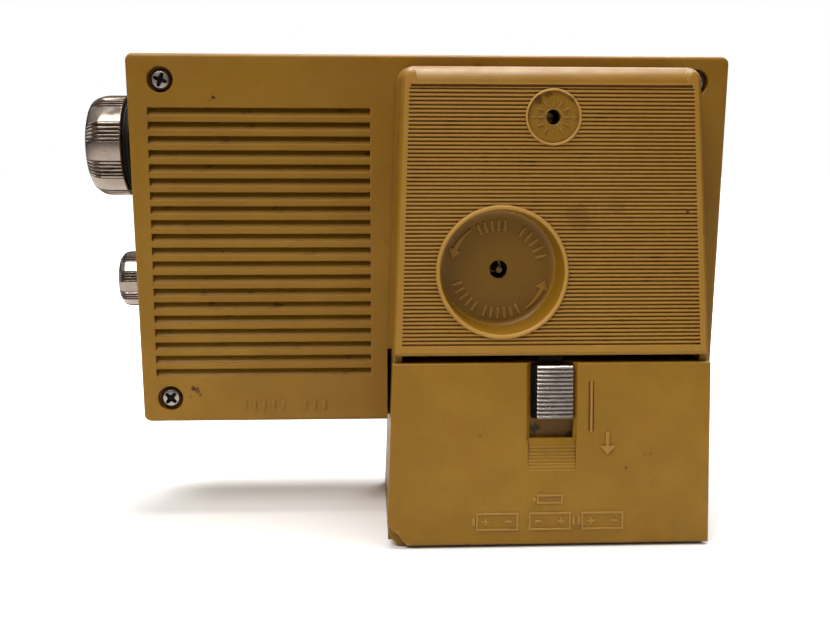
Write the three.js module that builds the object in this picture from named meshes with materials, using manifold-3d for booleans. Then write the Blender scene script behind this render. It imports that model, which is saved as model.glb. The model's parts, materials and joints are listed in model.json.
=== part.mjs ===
// A portable clock radio with a stepped body: a wide flat cabinet, a deep clock housing on its
// back, and a battery plinth under one end that is closed by a sloping door.
// Millimetres, +Z up. The radio faces -Y, and its two knobs are on the +X side.
// Everything is placed in the cabinet's own frame (x = 0 at the middle of the cabinet, y = 0 on the
// rear panel, z = 0 at the cabinet's underside). The exported group then moves the origin to the
// middle of the plinth's underside, where the radio stands.
import * as THREE from "three";
import { mergeVertices } from "three/addons/utils/BufferGeometryUtils.js";
import Module from "manifold-3d";

const wasm = await Module();
wasm.setup();

// ---------------------------------------------------------------- driving dimensions
const BODY_TOP_WIDTH = 196;
const BODY_BOTTOM_WIDTH = 192.2;
const BODY_HEIGHT = 121;
const BODY_DEPTH = 42;
const BODY_CORNER = 2.2;
const WALL = 2.4;
const REAR_RIM = 6; // how far the rear cover wraps round the sides
const SEAM = 0.2; // parting line between mouldings

// The clock housing and the battery door share one sloping back plane.
const HOUSING_DEPTH_AT_TOP = 20;
const BACK_SLOPE = 0.087;
const HOUSING_TOP = 116;
const HOUSING_UNDERSIDE = 27.3;
const HOUSING_CREST = 6; // radius along the housing's top edge
const HOUSING_CORNER = 4.5;

const LOUVRE_COUNT = 20;
const LOUVRE_PITCH = 4.52;
const LOUVRE_SLOT = 1.95;
const LOUVRE_TOP = 104.3;
const LOUVRE_X = [19.7, 91.4];

const DISH = { x: -20.8, z: 53.2, rimRadius: 20.3, floorRadius: 17.4, floorY: 19 };
const SET_SHAFT = { x: -20.4, z: 53.4, radius: 1.15, holeRadius: 2.85, travel: 1.5 };
const REGULATOR = { x: -36.4, z: 100.5, rimRadius: 8.6, holeRadius: 2.35 };

const SCREW_X = 87;
const SCREW_HIGH_Z = 112.7;
const SCREW_LOW_Z = 8;
const HIDDEN_SCREW_X = -91;
const SCREW_HEAD_RADIUS = 3.2;
const SCREW_RECESS_RADIUS = 4.15;
const SCREW_RECESS_DEPTH = 1.6;
const SHANK_RADIUS = 1.3;
const SCREW_TIP = -16;
const BOSS_RADIUS = 5;

const PLINTH_BOTTOM = -33;
const PLINTH_FRONT = -36;
const BAY_FRONT = -8;
const BAY_TOP = 24.4;
const BOX_WALL = 2.2;
const BOX_FLOOR = 2.4;
const BOX_INSET = 0.6; // the box is this much narrower than the door at each end

const DOOR_TOP = 25;
const DOOR_BOTTOM = -32.2;
const DOOR_THICKNESS = 2.4;
const DOOR_RIGHT_X = -86.6;
const LATCH_SLOT = { left: -29.7, right: -43.4, bottom: 1.2 };
const LATCH_HEAD = { left: -31.7, right: -43.1, top: 24.3, bottom: 7.7 };
const LATCH_RIBS = 13;

const KNOB_AXIS_Y = -20;
const TUNING = { z: 92, radius: 16.9, inner: 101, outer: 113.4 };
const VOLUME = { z: 46.3, radius: 9.5, inner: 97.9, outer: 105.7 };
const KNOB_HOLE_RADIUS = 3.6;

const CLOCK = { x: -41, z: 62, openingRadius: 42, dialRadius: 41 };
const SPEAKER = { x: 54, z: 45, radius: 33 };
const SCALE = { left: 16, right: 92, bottom: 88, top: 106 };
const GRILLE = { left: 16, right: 92, bottom: 11, top: 78, slots: 15, slotHeight: 2.2, margin: 4 };
const SWITCH = { left: 60, right: 82, bottom: 81.6, top: 84.4 }; // opening in the front
const DRUM_RADIUS = 15.5;
const CORD_Y = -36.6;
const PULLEY = { left: 82, right: 22, z: 105.2, radius: 2.6 };

// Four hands on coaxial tubes. The angle is clockwise from twelve, seen from the front.
const HAND_THICKNESS = 0.3;
const HAND_TUBE_END = -29;
const HANDS = {
  alarm_hand: { y: -35.8, angle: 210, length: 17, width: 2.4, tail: 3, hub: 4.4, tube: 3.4, bore: 2.9 },
  hour_hand: { y: -36.5, angle: 305, length: 23, width: 3.6, tail: 5, hub: 4, tube: 2.6, bore: 2.1 },
  minute_hand: { y: -37.2, angle: 60, length: 34, width: 3, tail: 7, hub: 3.4, tube: 1.8, bore: 1.2 },
  second_hand: { y: -37.9, angle: 180, length: 34, width: 1, tail: 10, hub: 2.6, tube: 0.9, bore: 0 },
};

const BOARD = { left: 17.4, right: 80, bottom: 6, top: 80, front: -12.6, back: -11 };
const PARTS_FRONT = -25; // how far the tallest cans reach forward of the circuit board
const PARTS_BACK = BOARD.front - 0.3;
const FERRITE = { y: -22, z: 112.6, radius: 4.5, left: 66, right: -50 };

const CELL_RADIUS = 13.1;
const CELL_PITCH = 29;
const CELL_MIDDLE_X = -35.6;
const CELL_Y = 8.4;
const CELL_BOTTOM = -28.2;
const CELL_TOP = 20.2;
const CONTACT_THICKNESS = 0.5;

// ---------------------------------------------------------------- geometry helpers
const backPlaneY = (z) => HOUSING_DEPTH_AT_TOP + BACK_SLOPE * (BODY_HEIGHT - z);
const halfWidth = (z) => (BODY_BOTTOM_WIDTH + ((BODY_TOP_WIDTH - BODY_BOTTOM_WIDTH) * z) / BODY_HEIGHT) / 2;
const housingLeft = (z) => 12.85 - 0.0312 * (z - 25);
const housingRight = (z) => -82.5 - 0.0407 * (105.6 - z);
const doorLeft = (z) => 13.2 + 0.035 * (DOOR_TOP - z);

// An indexed, welded copy with no collapsed triangles.
function welded(geometry) {
  const plain = geometry.clone();
  for (const name of Object.keys(plain.attributes)) {
    if (name !== "position") plain.deleteAttribute(name);
  }
  const merged = mergeVertices(plain, 1e-4);
  const index = merged.index.array;
  const kept = [];
  for (let i = 0; i < index.length; i += 3) {
    const [a, b, c] = [index[i], index[i + 1], index[i + 2]];
    if (a !== b && b !== c && c !== a) kept.push(a, b, c);
  }
  merged.setIndex(kept);
  return signedVolume(merged) < 0 ? turnedInsideOut(merged) : merged;
}

function signedVolume(geometry) {
  const position = geometry.attributes.position;
  const [a, b, c] = [new THREE.Vector3(), new THREE.Vector3(), new THREE.Vector3()];
  let sum = 0;
  for (let i = 0; i < geometry.index.count; i += 3) {
    a.fromBufferAttribute(position, geometry.index.getX(i));
    b.fromBufferAttribute(position, geometry.index.getX(i + 1));
    c.fromBufferAttribute(position, geometry.index.getX(i + 2));
    sum += a.dot(b.cross(c));
  }
  return sum / 6;
}

function turnedInsideOut(geometry) {
  const index = Array.from(geometry.index.array);
  for (let i = 0; i < index.length; i += 3) {
    [index[i], index[i + 1]] = [index[i + 1], index[i]];
  }
  geometry.setIndex(index);
  return geometry;
}

function solid(geometry) {
  const plain = welded(geometry);
  return new wasm.Manifold(
    new wasm.Mesh({
      numProp: 3,
      vertProperties: new Float32Array(plain.attributes.position.array),
      triVerts: new Uint32Array(plain.index.array),
    }),
  );
}

function geometryOf(manifold) {
  const mesh = manifold.getMesh();
  const geometry = new THREE.BufferGeometry();
  geometry.setAttribute("position", new THREE.BufferAttribute(new Float32Array(mesh.vertProperties), 3));
  geometry.setIndex(new THREE.BufferAttribute(new Uint32Array(mesh.triVerts), 1));
  geometry.computeVertexNormals();
  return geometry;
}

const asSolid = (shape) => (shape.isBufferGeometry ? solid(shape) : shape);

function cut(base, ...tools) {
  return tools.reduce((rest, tool) => rest.subtract(asSolid(tool)), asSolid(base));
}

function join(base, ...others) {
  return others.reduce((sum, other) => sum.add(asSolid(other)), asSolid(base));
}

function common(base, ...others) {
  return others.reduce((sum, other) => sum.intersect(asSolid(other)), asSolid(base));
}

function box(x0, x1, y0, y1, z0, z1) {
  const geometry = new THREE.BoxGeometry(Math.abs(x1 - x0), Math.abs(y1 - y0), Math.abs(z1 - z0));
  return geometry.translate((x0 + x1) / 2, (y0 + y1) / 2, (z0 + z1) / 2);
}

// Cylinders and turned pieces along each axis.
function barX(radius, x0, x1, y, z, sides = 24) {
  const geometry = new THREE.CylinderGeometry(radius, radius, x1 - x0, sides);
  return geometry.rotateZ(-Math.PI / 2).translate((x0 + x1) / 2, y, z);
}

function barY(radius, y0, y1, x, z, sides = 24) {
  return new THREE.CylinderGeometry(radius, radius, y1 - y0, sides).translate(x, (y0 + y1) / 2, z);
}

// A profile of [radius, distance] pairs turned about an axis; the profile is closed.
function turned(profile, sides = 24) {
  const points = profile.map(([radius, along]) => new THREE.Vector2(radius, along));
  return new THREE.LatheGeometry(points, sides);
}

const turnedY = (profile, x, z, sides) => turned(profile, sides).translate(x, 0, z);
const turnedX = (profile, y, z, sides) => turned(profile, sides).rotateZ(-Math.PI / 2).translate(0, y, z);

// A closed outline through the given corners, with every corner rounded.
function rounded(corners, radius) {
  const shape = new THREE.Shape();
  const count = corners.length;
  corners.forEach(([x, y], i) => {
    const here = new THREE.Vector2(x, y);
    const before = new THREE.Vector2(...corners[(i + count - 1) % count]);
    const after = new THREE.Vector2(...corners[(i + 1) % count]);
    const start = here.clone().add(before.sub(here).setLength(radius));
    const end = here.clone().add(after.sub(here).setLength(radius));
    if (i === 0) shape.moveTo(start.x, start.y);
    else shape.lineTo(start.x, start.y);
    shape.quadraticCurveTo(here.x, here.y, end.x, end.y);
  });
  shape.closePath();
  return shape;
}

function polygon(points) {
  return new THREE.Shape(points.map(([x, y]) => new THREE.Vector2(x, y)));
}

// Extrusions: an outline in (x, z) swept along y, and one in (y, z) swept along x.
function alongY(shape, y0, y1, curveSegments = 3) {
  const geometry = new THREE.ExtrudeGeometry(shape, { depth: y1 - y0, bevelEnabled: false, curveSegments });
  return geometry.rotateX(Math.PI / 2).translate(0, y1, 0);
}

function alongX(shape, x0, x1, curveSegments = 3) {
  const geometry = new THREE.ExtrudeGeometry(shape, { depth: x1 - x0, bevelEnabled: false, curveSegments });
  const turn = new THREE.Matrix4().set(0, 0, 1, 0, 1, 0, 0, 0, 0, 1, 0, 0, 0, 0, 0, 1);
  return geometry.applyMatrix4(turn).translate(x0, 0, 0);
}

// A shape built against the plane y = 0, moved to lie on the sloping back plane.
function onBackPlane(geometry) {
  const position = geometry.attributes.position;
  for (let i = 0; i < position.count; i += 1) {
    position.setY(i, position.getY(i) + backPlaneY(position.getZ(i)));
  }
  return geometry;
}

// A wire or rod swept along a path of points, with flat ends.
function wire(points, radius, sides = 6, steps = points.length * 2) {
  const ring = new THREE.Shape();
  ring.absarc(0, 0, radius, 0, Math.PI * 2);
  const places = points.map((p) => new THREE.Vector3(...p));
  const extrudePath = new THREE.CatmullRomCurve3(places, false, "catmullrom", 0.05);
  const curveSegments = sides / 2;
  return new THREE.ExtrudeGeometry(ring, { extrudePath, steps, curveSegments, bevelEnabled: false });
}

function bodyOutline(inset) {
  const low = halfWidth(0) - inset;
  const high = halfWidth(BODY_HEIGHT) - inset;
  const corners = [
    [-low, inset],
    [low, inset],
    [high, BODY_HEIGHT - inset],
    [-high, BODY_HEIGHT - inset],
  ];
  return rounded(corners, Math.max(BODY_CORNER - inset / 2, 1));
}

const rectangle = (left, right, bottom, top, radius) =>
  rounded([[left, bottom], [right, bottom], [right, top], [left, top]], radius);

// ---------------------------------------------------------------- materials and the group
const radio = new THREE.Group();
const cabinet = new THREE.Group();
const footCentreX = (DOOR_RIGHT_X + doorLeft(PLINTH_BOTTOM)) / 2;
const plinthRear = (z) => backPlaneY(z) - DOOR_THICKNESS - 0.4;
const footCentreY = (PLINTH_FRONT + plinthRear(PLINTH_BOTTOM)) / 2;
cabinet.position.set(-footCentreX, -footCentreY, -PLINTH_BOTTOM);
radio.add(cabinet);

const FINISH = {
  mustard: { color: 0x8a6528, roughness: 0.55, metalness: 0 },
  chrome: { color: 0xd8d4cf, roughness: 0.12, metalness: 1 },
  black: { color: 0x14120f, roughness: 0.6, metalness: 0 },
  steel: { color: 0x9a9690, roughness: 0.4, metalness: 0.9 },
  brass: { color: 0xb08a3c, roughness: 0.35, metalness: 0.9 },
  grille: { color: 0x3a2f22, roughness: 0.5, metalness: 0.4 },
  clear: { color: 0xe8ecec, roughness: 0.05, metalness: 0 },
  white: { color: 0xe6dfcc, roughness: 0.6, metalness: 0 },
  red: { color: 0xa5321f, roughness: 0.5, metalness: 0 },
  board: { color: 0x8d6a35, roughness: 0.7, metalness: 0 },
  ferrite: { color: 0x34302e, roughness: 0.8, metalness: 0.1 },
  paper: { color: 0x2c2a28, roughness: 0.9, metalness: 0 },
  jacket: { color: 0x5a5f66, roughness: 0.45, metalness: 0.3 },
  blue: { color: 0x2d4f7a, roughness: 0.5, metalness: 0 },
};

function piece(name, shape, finish) {
  const geometry = shape.isBufferGeometry ? welded(shape) : geometryOf(shape);
  const mesh = new THREE.Mesh(geometry, new THREE.MeshStandardMaterial(FINISH[finish]));
  mesh.name = name;
  cabinet.add(mesh);
}

// ---------------------------------------------------------------- rear cover and clock housing
// The housing's block, shrunk on every side by an inset, from the rear panel to the sloping plane.
function housingBlock(inset, fromY) {
  const low = HOUSING_UNDERSIDE + inset;
  const high = HOUSING_TOP - inset;
  const outline = rounded(
    [
      [housingRight(low) + inset, low],
      [housingLeft(low) - inset, low],
      [housingLeft(high) - inset, high],
      [housingRight(high) + inset, high],
    ],
    inset > 0 ? HOUSING_CORNER - inset : HOUSING_CORNER,
  );
  const back = (z) => backPlaneY(z) - inset;
  const crest = HOUSING_CREST;
  const side = new THREE.Shape();
  side.moveTo(fromY, low - 1);
  side.lineTo(back(low - 1), low - 1);
  side.lineTo(back(high - crest), high - crest);
  side.quadraticCurveTo(back(high), high, back(high) - crest, high);
  side.lineTo(fromY, high);
  const swept = alongX(side, housingRight(low) - 2, housingLeft(low) + 2, 6);
  return common(alongY(outline, fromY, backPlaneY(PLINTH_BOTTOM), 4), swept);
}

function louvres() {
  const slots = [];
  for (let i = 0; i < LOUVRE_COUNT; i += 1) {
    const top = LOUVRE_TOP - i * LOUVRE_PITCH;
    slots.push(box(LOUVRE_X[0], LOUVRE_X[1], -WALL - 2, 1, top - LOUVRE_SLOT, top));
  }
  return slots;
}

const screwPlaces = [
  ["cover_screw_upper_left", SCREW_X, SCREW_HIGH_Z],
  ["cover_screw_upper_right", -SCREW_X, SCREW_HIGH_Z],
  ["cover_screw_lower_left", SCREW_X, SCREW_LOW_Z],
  ["cover_screw_lower_right", HIDDEN_SCREW_X, SCREW_LOW_Z],
];

function rearCover() {
  const tray = cut(
    alongY(bodyOutline(0), -REAR_RIM, 0),
    alongY(bodyOutline(WALL), -REAR_RIM - 1, -WALL),
  );
  const bosses = screwPlaces.map(([, x, z]) => barY(BOSS_RADIUS, -REAR_RIM, -WALL / 2, x, z));
  const withHousing = join(tray, ...bosses, housingBlock(0, -WALL / 2));
  const recesses = screwPlaces.map(([, x, z]) => barY(SCREW_RECESS_RADIUS, -SCREW_RECESS_DEPTH, 1, x, z));
  const shankHoles = screwPlaces.map(([, x, z]) => barY(SHANK_RADIUS + 0.5, -REAR_RIM - 1, 1, x, z, 12));
  const bay = box(DOOR_RIGHT_X + 0.2, doorLeft(0) + 0.2, -REAR_RIM - 1, 1, -1, BAY_TOP + SEAM);
  const inside = housingBlock(WALL, -WALL - 1);
  return dished(cut(withHousing, ...recesses, ...shankHoles, ...louvres(), inside, bay));
}

// The thumb dish round the time shaft and the regulator's round scale, let into the housing.
function dished(cover) {
  const rimY = backPlaneY(DISH.z);
  const flare = (DISH.rimRadius - DISH.floorRadius) / (rimY - DISH.floorY);
  const mouthY = rimY + 4;
  const mouth = DISH.floorRadius + flare * (mouthY - DISH.floorY);
  const dishWall = 2;
  const pocket = turnedY(
    [[0, DISH.floorY], [DISH.floorRadius, DISH.floorY], [mouth, mouthY], [0, mouthY]],
    DISH.x, DISH.z, 48);
  const cup = turnedY(
    [[0, DISH.floorY - dishWall], [DISH.floorRadius + dishWall, DISH.floorY - dishWall],
      [mouth + dishWall, mouthY], [0, mouthY]],
    DISH.x, DISH.z, 48);
  const insideHousing = common(cup, housingBlock(WALL / 2, 0));
  const shaftHole = barY(SET_SHAFT.holeRadius, 0, mouthY, SET_SHAFT.x, SET_SHAFT.z, 20);
  const scaleDepth = 0.6;
  const scaleRadius = REGULATOR.rimRadius - 0.5;
  const scalePocket = onBackPlane(barY(scaleRadius, -scaleDepth, 3, REGULATOR.x, REGULATOR.z, 36));
  const regulatorHole = barY(REGULATOR.holeRadius, 0, mouthY, REGULATOR.x, REGULATOR.z, 20);
  return cut(join(cover, insideHousing), pocket, shaftHole, scalePocket, regulatorHole);
}

// ---------------------------------------------------------------- front cabinet
function frontCabinet() {
  const front = -BODY_DEPTH;
  const back = -REAR_RIM - SEAM;
  const edge = 2;
  const shell = new THREE.ExtrudeGeometry(bodyOutline(edge), {
    depth: BODY_DEPTH - edge,
    bevelThickness: edge,
    bevelSize: edge,
    bevelSegments: 3,
    curveSegments: 3,
  });
  shell.rotateX(Math.PI / 2);
  const outer = common(shell, box(-BODY_TOP_WIDTH, BODY_TOP_WIDTH, front - 1, back, -5, BODY_HEIGHT + 5));
  const hollow = alongY(bodyOutline(WALL), front + WALL, back + 1);
  const posts = screwPlaces.map(([, x, z]) => barY(BOSS_RADIUS - 0.6, front + WALL / 2, back, x, z));
  const pilots = screwPlaces.map(([, x, z]) => barY(SHANK_RADIUS + 0.2, back - 12, back + 1, x, z, 12));
  const [ahead, behind] = [front - 1, front + WALL + 1];
  const besideWall = BODY_BOTTOM_WIDTH / 2 - WALL - 4;
  const openings = [
    barY(CLOCK.openingRadius, ahead, behind, CLOCK.x, CLOCK.z, 48),
    alongY(rectangle(GRILLE.left, GRILLE.right, GRILLE.bottom, GRILLE.top, 3), ahead, behind),
    alongY(rectangle(SCALE.left, SCALE.right, SCALE.bottom, SCALE.top, 1.5), ahead, behind),
    box(SWITCH.left, SWITCH.right, ahead, behind, SWITCH.bottom, SWITCH.top),
    barX(KNOB_HOLE_RADIUS, besideWall, BODY_TOP_WIDTH, KNOB_AXIS_Y, TUNING.z),
    barX(KNOB_HOLE_RADIUS, besideWall, BODY_TOP_WIDTH, KNOB_AXIS_Y, VOLUME.z),
  ];
  const bay = box(DOOR_RIGHT_X + 0.2, doorLeft(0) + 0.2, BAY_FRONT - SEAM, 1, -5, BAY_TOP);
  return cut(join(cut(outer, hollow), ...posts), ...pilots, ...openings, bay);
}

function screw(x, z) {
  const top = -0.35;
  const shoulder = -SCREW_RECESS_DEPTH + 0.1;
  const blank = turnedY(
    [[0, SCREW_TIP], [SHANK_RADIUS, SCREW_TIP], [SHANK_RADIUS, shoulder], [SCREW_HEAD_RADIUS, shoulder],
      [SCREW_HEAD_RADIUS, top - 0.5], [SCREW_HEAD_RADIUS * 0.6, top], [0, top]],
    x, z, 20);
  const slot = 0.9;
  const reach = SCREW_HEAD_RADIUS * 0.62;
  const cross = [
    box(x - reach, x + reach, top - 0.9, 1, z - slot / 2, z + slot / 2),
    box(x - slot / 2, x + slot / 2, top - 0.9, 1, z - reach, z + reach),
  ];
  return cut(blank, ...cross);
}

// ---------------------------------------------------------------- battery plinth, door and latch
function batteryHousing() {
  const right = DOOR_RIGHT_X + BOX_INSET;
  const low = PLINTH_BOTTOM;
  const edge = 1.2;
  const side = polygon([
    [PLINTH_FRONT, low + edge],
    [PLINTH_FRONT + edge, low],
    [plinthRear(low), low],
    [plinthRear(BAY_TOP), BAY_TOP],
    [BAY_FRONT, BAY_TOP],
    [BAY_FRONT, -SEAM],
    [PLINTH_FRONT, -SEAM],
  ]);
  const earTop = HOUSING_UNDERSIDE - SEAM;
  const earSide = polygon([
    [0.4, BAY_TOP - 1],
    [plinthRear(BAY_TOP - 1), BAY_TOP - 1],
    [plinthRear(earTop), earTop],
    [0.4, earTop],
  ]);
  const outline = polygon([
    [right, low - 1],
    [doorLeft(low - 1) - BOX_INSET, low - 1],
    [doorLeft(BODY_HEIGHT) - BOX_INSET, BODY_HEIGHT],
    [right, BODY_HEIGHT],
  ]);
  const ears = [alongX(earSide, right, right + BOX_WALL), alongX(earSide, doorLeft(DOOR_TOP) - 3, 20)];
  const block = common(join(alongX(side, right - 5, 20), ...ears), alongY(outline, -50, 50));
  const inner = doorLeft(DOOR_TOP) - BOX_INSET - BOX_WALL;
  const floor = low + BOX_FLOOR;
  const bay = box(right + BOX_WALL, inner, BAY_FRONT + BOX_WALL, 50, floor, BAY_TOP - BOX_WALL);
  const hollow = box(right + BOX_WALL, inner, PLINTH_FRONT + BOX_WALL, BAY_FRONT, floor, 5);
  const hookReach = HOOK_WIDTH / 2 + 1;
  const hookNotches = HINGE_HOOKS.map((x) =>
    box(x - hookReach, x + hookReach, plinthRear(low) - 6, 50, low + 0.9, floor + 1));
  const guideClearance = 3.6;
  const latchNotch = box(LATCH_SLOT.right - guideClearance, LATCH_SLOT.left + guideClearance,
    plinthRear(BAY_TOP) - 5, 50, BAY_TOP - 4, BAY_TOP + 1);
  return cut(block, bay, hollow, ...hookNotches, latchNotch);
}

const HINGE_HOOKS = [-8, -64];
const HOOK_WIDTH = 8;
const hingeRadius = DOOR_THICKNESS / 2;
const hingeZ = DOOR_BOTTOM + hingeRadius;
const hingeY = backPlaneY(hingeZ) - hingeRadius;

// A side view of the door: its lower edge is a half round centred on the hinge axis.
function doorSection() {
  const section = new THREE.Shape();
  const chamfer = 0.6;
  section.moveTo(backPlaneY(DOOR_TOP - chamfer), DOOR_TOP - chamfer);
  section.lineTo(backPlaneY(DOOR_TOP) - chamfer, DOOR_TOP);
  section.lineTo(backPlaneY(DOOR_TOP) - DOOR_THICKNESS, DOOR_TOP);
  section.lineTo(hingeY - hingeRadius, hingeZ);
  section.absarc(hingeY, hingeZ, hingeRadius, Math.PI, Math.PI * 2, false);
  return section;
}

function batteryDoor() {
  const plate = alongX(doorSection(), DOOR_RIGHT_X, doorLeft(DOOR_BOTTOM) + 2, 5);
  // The lower corner on the knob side is broken away in three short facets.
  const outline = polygon([
    [DOOR_RIGHT_X, DOOR_TOP + 1],
    [DOOR_RIGHT_X, DOOR_BOTTOM - 1],
    [doorLeft(DOOR_BOTTOM) - 7.5, DOOR_BOTTOM - 1],
    [doorLeft(DOOR_BOTTOM) - 7.3, DOOR_BOTTOM],
    [doorLeft(DOOR_BOTTOM) - 4.8, DOOR_BOTTOM + 3],
    [doorLeft(DOOR_BOTTOM) - 2.7, DOOR_BOTTOM + 5.2],
    [doorLeft(DOOR_BOTTOM + 8.4), DOOR_BOTTOM + 8.4],
    [doorLeft(DOOR_TOP + 1), DOOR_TOP + 1],
  ]);
  const slab = common(plate, alongY(outline, 0, 60));
  const guideFloor = 4.4;
  const guideWall = 1.6;
  const guideLeft = LATCH_SLOT.left + 1.2;
  const guideRight = LATCH_SLOT.right - 1.2;
  const guideBottom = LATCH_SLOT.bottom - 0.6;
  const guide = onBackPlane(box(guideRight - guideWall, guideLeft + guideWall, -guideFloor - guideWall,
    -DOOR_THICKNESS + 0.5, guideBottom - guideWall, DOOR_TOP - 0.4));
  const above = DOOR_TOP + 3;
  const channel = onBackPlane(box(guideRight, guideLeft, -guideFloor, -DOOR_THICKNESS, guideBottom, above));
  const slot = onBackPlane(box(LATCH_SLOT.right, LATCH_SLOT.left, -guideFloor, 2, LATCH_SLOT.bottom, above));
  const rampDepth = 1.2;
  const rampFoot = -10.1;
  const rampHead = LATCH_SLOT.bottom + 1;
  const ramp = polygon([[-rampDepth, rampHead], [0, rampFoot], [2, rampFoot], [2, rampHead]]);
  const thumbRamp = onBackPlane(alongX(ramp, LATCH_SLOT.right - 0.8, LATCH_SLOT.left + 0.8));
  const half = HOOK_WIDTH / 2;
  const hooks = HINGE_HOOKS.map((x) =>
    box(x - half, x + half, hingeY - 5, hingeY, hingeZ - 0.5, hingeZ + 0.9));
  return cut(join(slab, guide, ...hooks), channel, slot, thumbRamp);
}

function batteryLatch() {
  const grip = [];
  const ribPitch = (LATCH_HEAD.top - LATCH_HEAD.bottom) / LATCH_RIBS;
  const crest = 0.75;
  const root = 0.15;
  const gripFoot = -3;
  const [slideFoot, slideTop] = [-4.1, -2.7];
  for (let i = 0; i < LATCH_RIBS; i += 1) {
    const z = LATCH_HEAD.bottom + i * ribPitch;
    grip.push([root, z], [crest, z + ribPitch * 0.3], [crest, z + ribPitch * 0.7]);
  }
  grip.push([root, LATCH_HEAD.top], [gripFoot, LATCH_HEAD.top], [gripFoot, LATCH_HEAD.bottom]);
  const head = onBackPlane(alongX(polygon(grip), LATCH_HEAD.right, LATCH_HEAD.left));
  const slideLeft = LATCH_SLOT.left + 0.9;
  const slideRight = LATCH_SLOT.right - 0.9;
  const slideBottom = LATCH_HEAD.bottom - 0.6;
  const slide = onBackPlane(box(slideRight, slideLeft, slideFoot, slideTop, slideBottom, DOOR_TOP - 0.7));
  const tongueTop = HOUSING_UNDERSIDE - 0.4;
  const tongue = onBackPlane(
    box(slideRight + 2, slideLeft - 2, slideFoot, slideTop, DOOR_TOP - 1, tongueTop));
  return join(head, slide, tongue);
}

function cellSpring(x) {
  const turns = 2.5;
  const perTurn = 10;
  const wireRadius = 0.3;
  const [wide, narrow] = [5.5, 3];
  const low = PLINTH_BOTTOM + BOX_FLOOR + wireRadius + 0.05;
  const high = CELL_BOTTOM - wireRadius - 0.1;
  const points = [];
  for (let i = 0; i <= turns * perTurn; i += 1) {
    const part = i / (turns * perTurn);
    const angle = (i / perTurn) * Math.PI * 2;
    const radius = wide - (wide - narrow) * part;
    points.push([x + radius * Math.cos(angle), CELL_Y + radius * Math.sin(angle), low + (high - low) * part]);
  }
  return wire(points, wireRadius, 4, points.length - 1);
}

function batteryCell(x) {
  const shoulder = CELL_TOP - 1.6;
  const rim = CELL_RADIUS - 0.8;
  const button = 3.4;
  const can = turned(
    [[0, CELL_BOTTOM], [rim, CELL_BOTTOM], [CELL_RADIUS, CELL_BOTTOM + 0.8], [CELL_RADIUS, shoulder - 0.6],
      [rim + 0.2, shoulder], [button + 0.2, shoulder], [button, CELL_TOP], [0, CELL_TOP]]);
  return can.rotateX(Math.PI / 2).translate(x, CELL_Y, 0);
}

// ---------------------------------------------------------------- knobs
// A knob's outline: eight smooth facets with a group of fine flutes between each pair.
function flutedOutline(radius, flutes, depth) {
  const groups = 8;
  const step = (Math.PI * 2) / groups;
  const fluteShare = 0.5;
  const points = [];
  for (let g = 0; g < groups; g += 1) {
    const start = g * step;
    for (let i = 0; i <= 3; i += 1) {
      points.push([radius, start + (step * (1 - fluteShare) * i) / 3]);
    }
    const fluteStep = (step * fluteShare) / flutes;
    for (let i = 0; i < flutes; i += 1) {
      const from = start + step * (1 - fluteShare) + i * fluteStep;
      points.push([radius - depth, from + fluteStep * 0.4]);
      if (i < flutes - 1) points.push([radius, from + fluteStep * 0.9]);
    }
  }
  return polygon(points.map(([r, a]) => [r * Math.cos(a), r * Math.sin(a)]));
}

function flutedKnob({ z, radius, inner, outer }, flutes, crown, bore, boreDepth) {
  const body = alongX(flutedOutline(radius, flutes, 0.45), inner, outer).translate(0, KNOB_AXIS_Y, z);
  const dome = turnedX(
    [[0, inner - 1], [radius + 1, inner - 1], [radius + 1, outer - crown],
      [radius - crown * 0.3, outer - crown * 0.3], [radius - crown, outer], [0, outer]],
    KNOB_AXIS_Y, z, 40);
  return cut(common(body, dome), barX(bore, inner - 1, inner + boreDepth, KNOB_AXIS_Y, z, 32));
}

function tuningCore() {
  const hub = TUNING.radius - 1.6;
  const hubFoot = halfWidth(TUNING.z) + 0.8;
  const hubTop = TUNING.inner + 1.2;
  const [shaft, shaftEnd] = [3, 84.4];
  const [nose, noseTop] = [4.4, TUNING.inner + 6];
  return turnedX(
    [[0, shaftEnd], [shaft, shaftEnd], [shaft, hubFoot], [hub, hubFoot], [hub, hubTop], [nose, hubTop],
      [nose, noseTop], [0, noseTop]],
    KNOB_AXIS_Y, TUNING.z, 24);
}

function cordDrum() {
  const [near, far] = [87.2, 91.8];
  const bore = 3.3;
  const groove = 1.2;
  const rim = DRUM_RADIUS + 0.8;
  return turnedX(
    [[bore, near], [rim, near], [rim, near + groove], [DRUM_RADIUS, near + groove * 1.5],
      [DRUM_RADIUS, far - groove * 1.5], [rim, far - groove], [rim, far], [bore, far], [bore, near]],
    KNOB_AXIS_Y, TUNING.z, 24);
}

// ---------------------------------------------------------------- tuning scale and front trim
function speakerGrille() {
  const gap = 0.3;
  const outline = rectangle(
    GRILLE.left + gap, GRILLE.right - gap, GRILLE.bottom + gap, GRILLE.top - gap, 2.8);
  const plate = alongY(outline, -BODY_DEPTH - 0.4, -BODY_DEPTH + 1.2);
  const slots = [];
  const border = 3;
  const pitch = (GRILLE.top - GRILLE.bottom - border * 2) / GRILLE.slots;
  const half = GRILLE.slotHeight / 2;
  for (let i = 0; i < GRILLE.slots; i += 1) {
    const z = GRILLE.bottom + border + (i + 0.5) * pitch;
    slots.push(box(GRILLE.left + GRILLE.margin, GRILLE.right - GRILLE.margin,
      -BODY_DEPTH - 2, -BODY_DEPTH + 3, z - half, z + half));
  }
  return cut(plate, ...slots);
}

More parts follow.
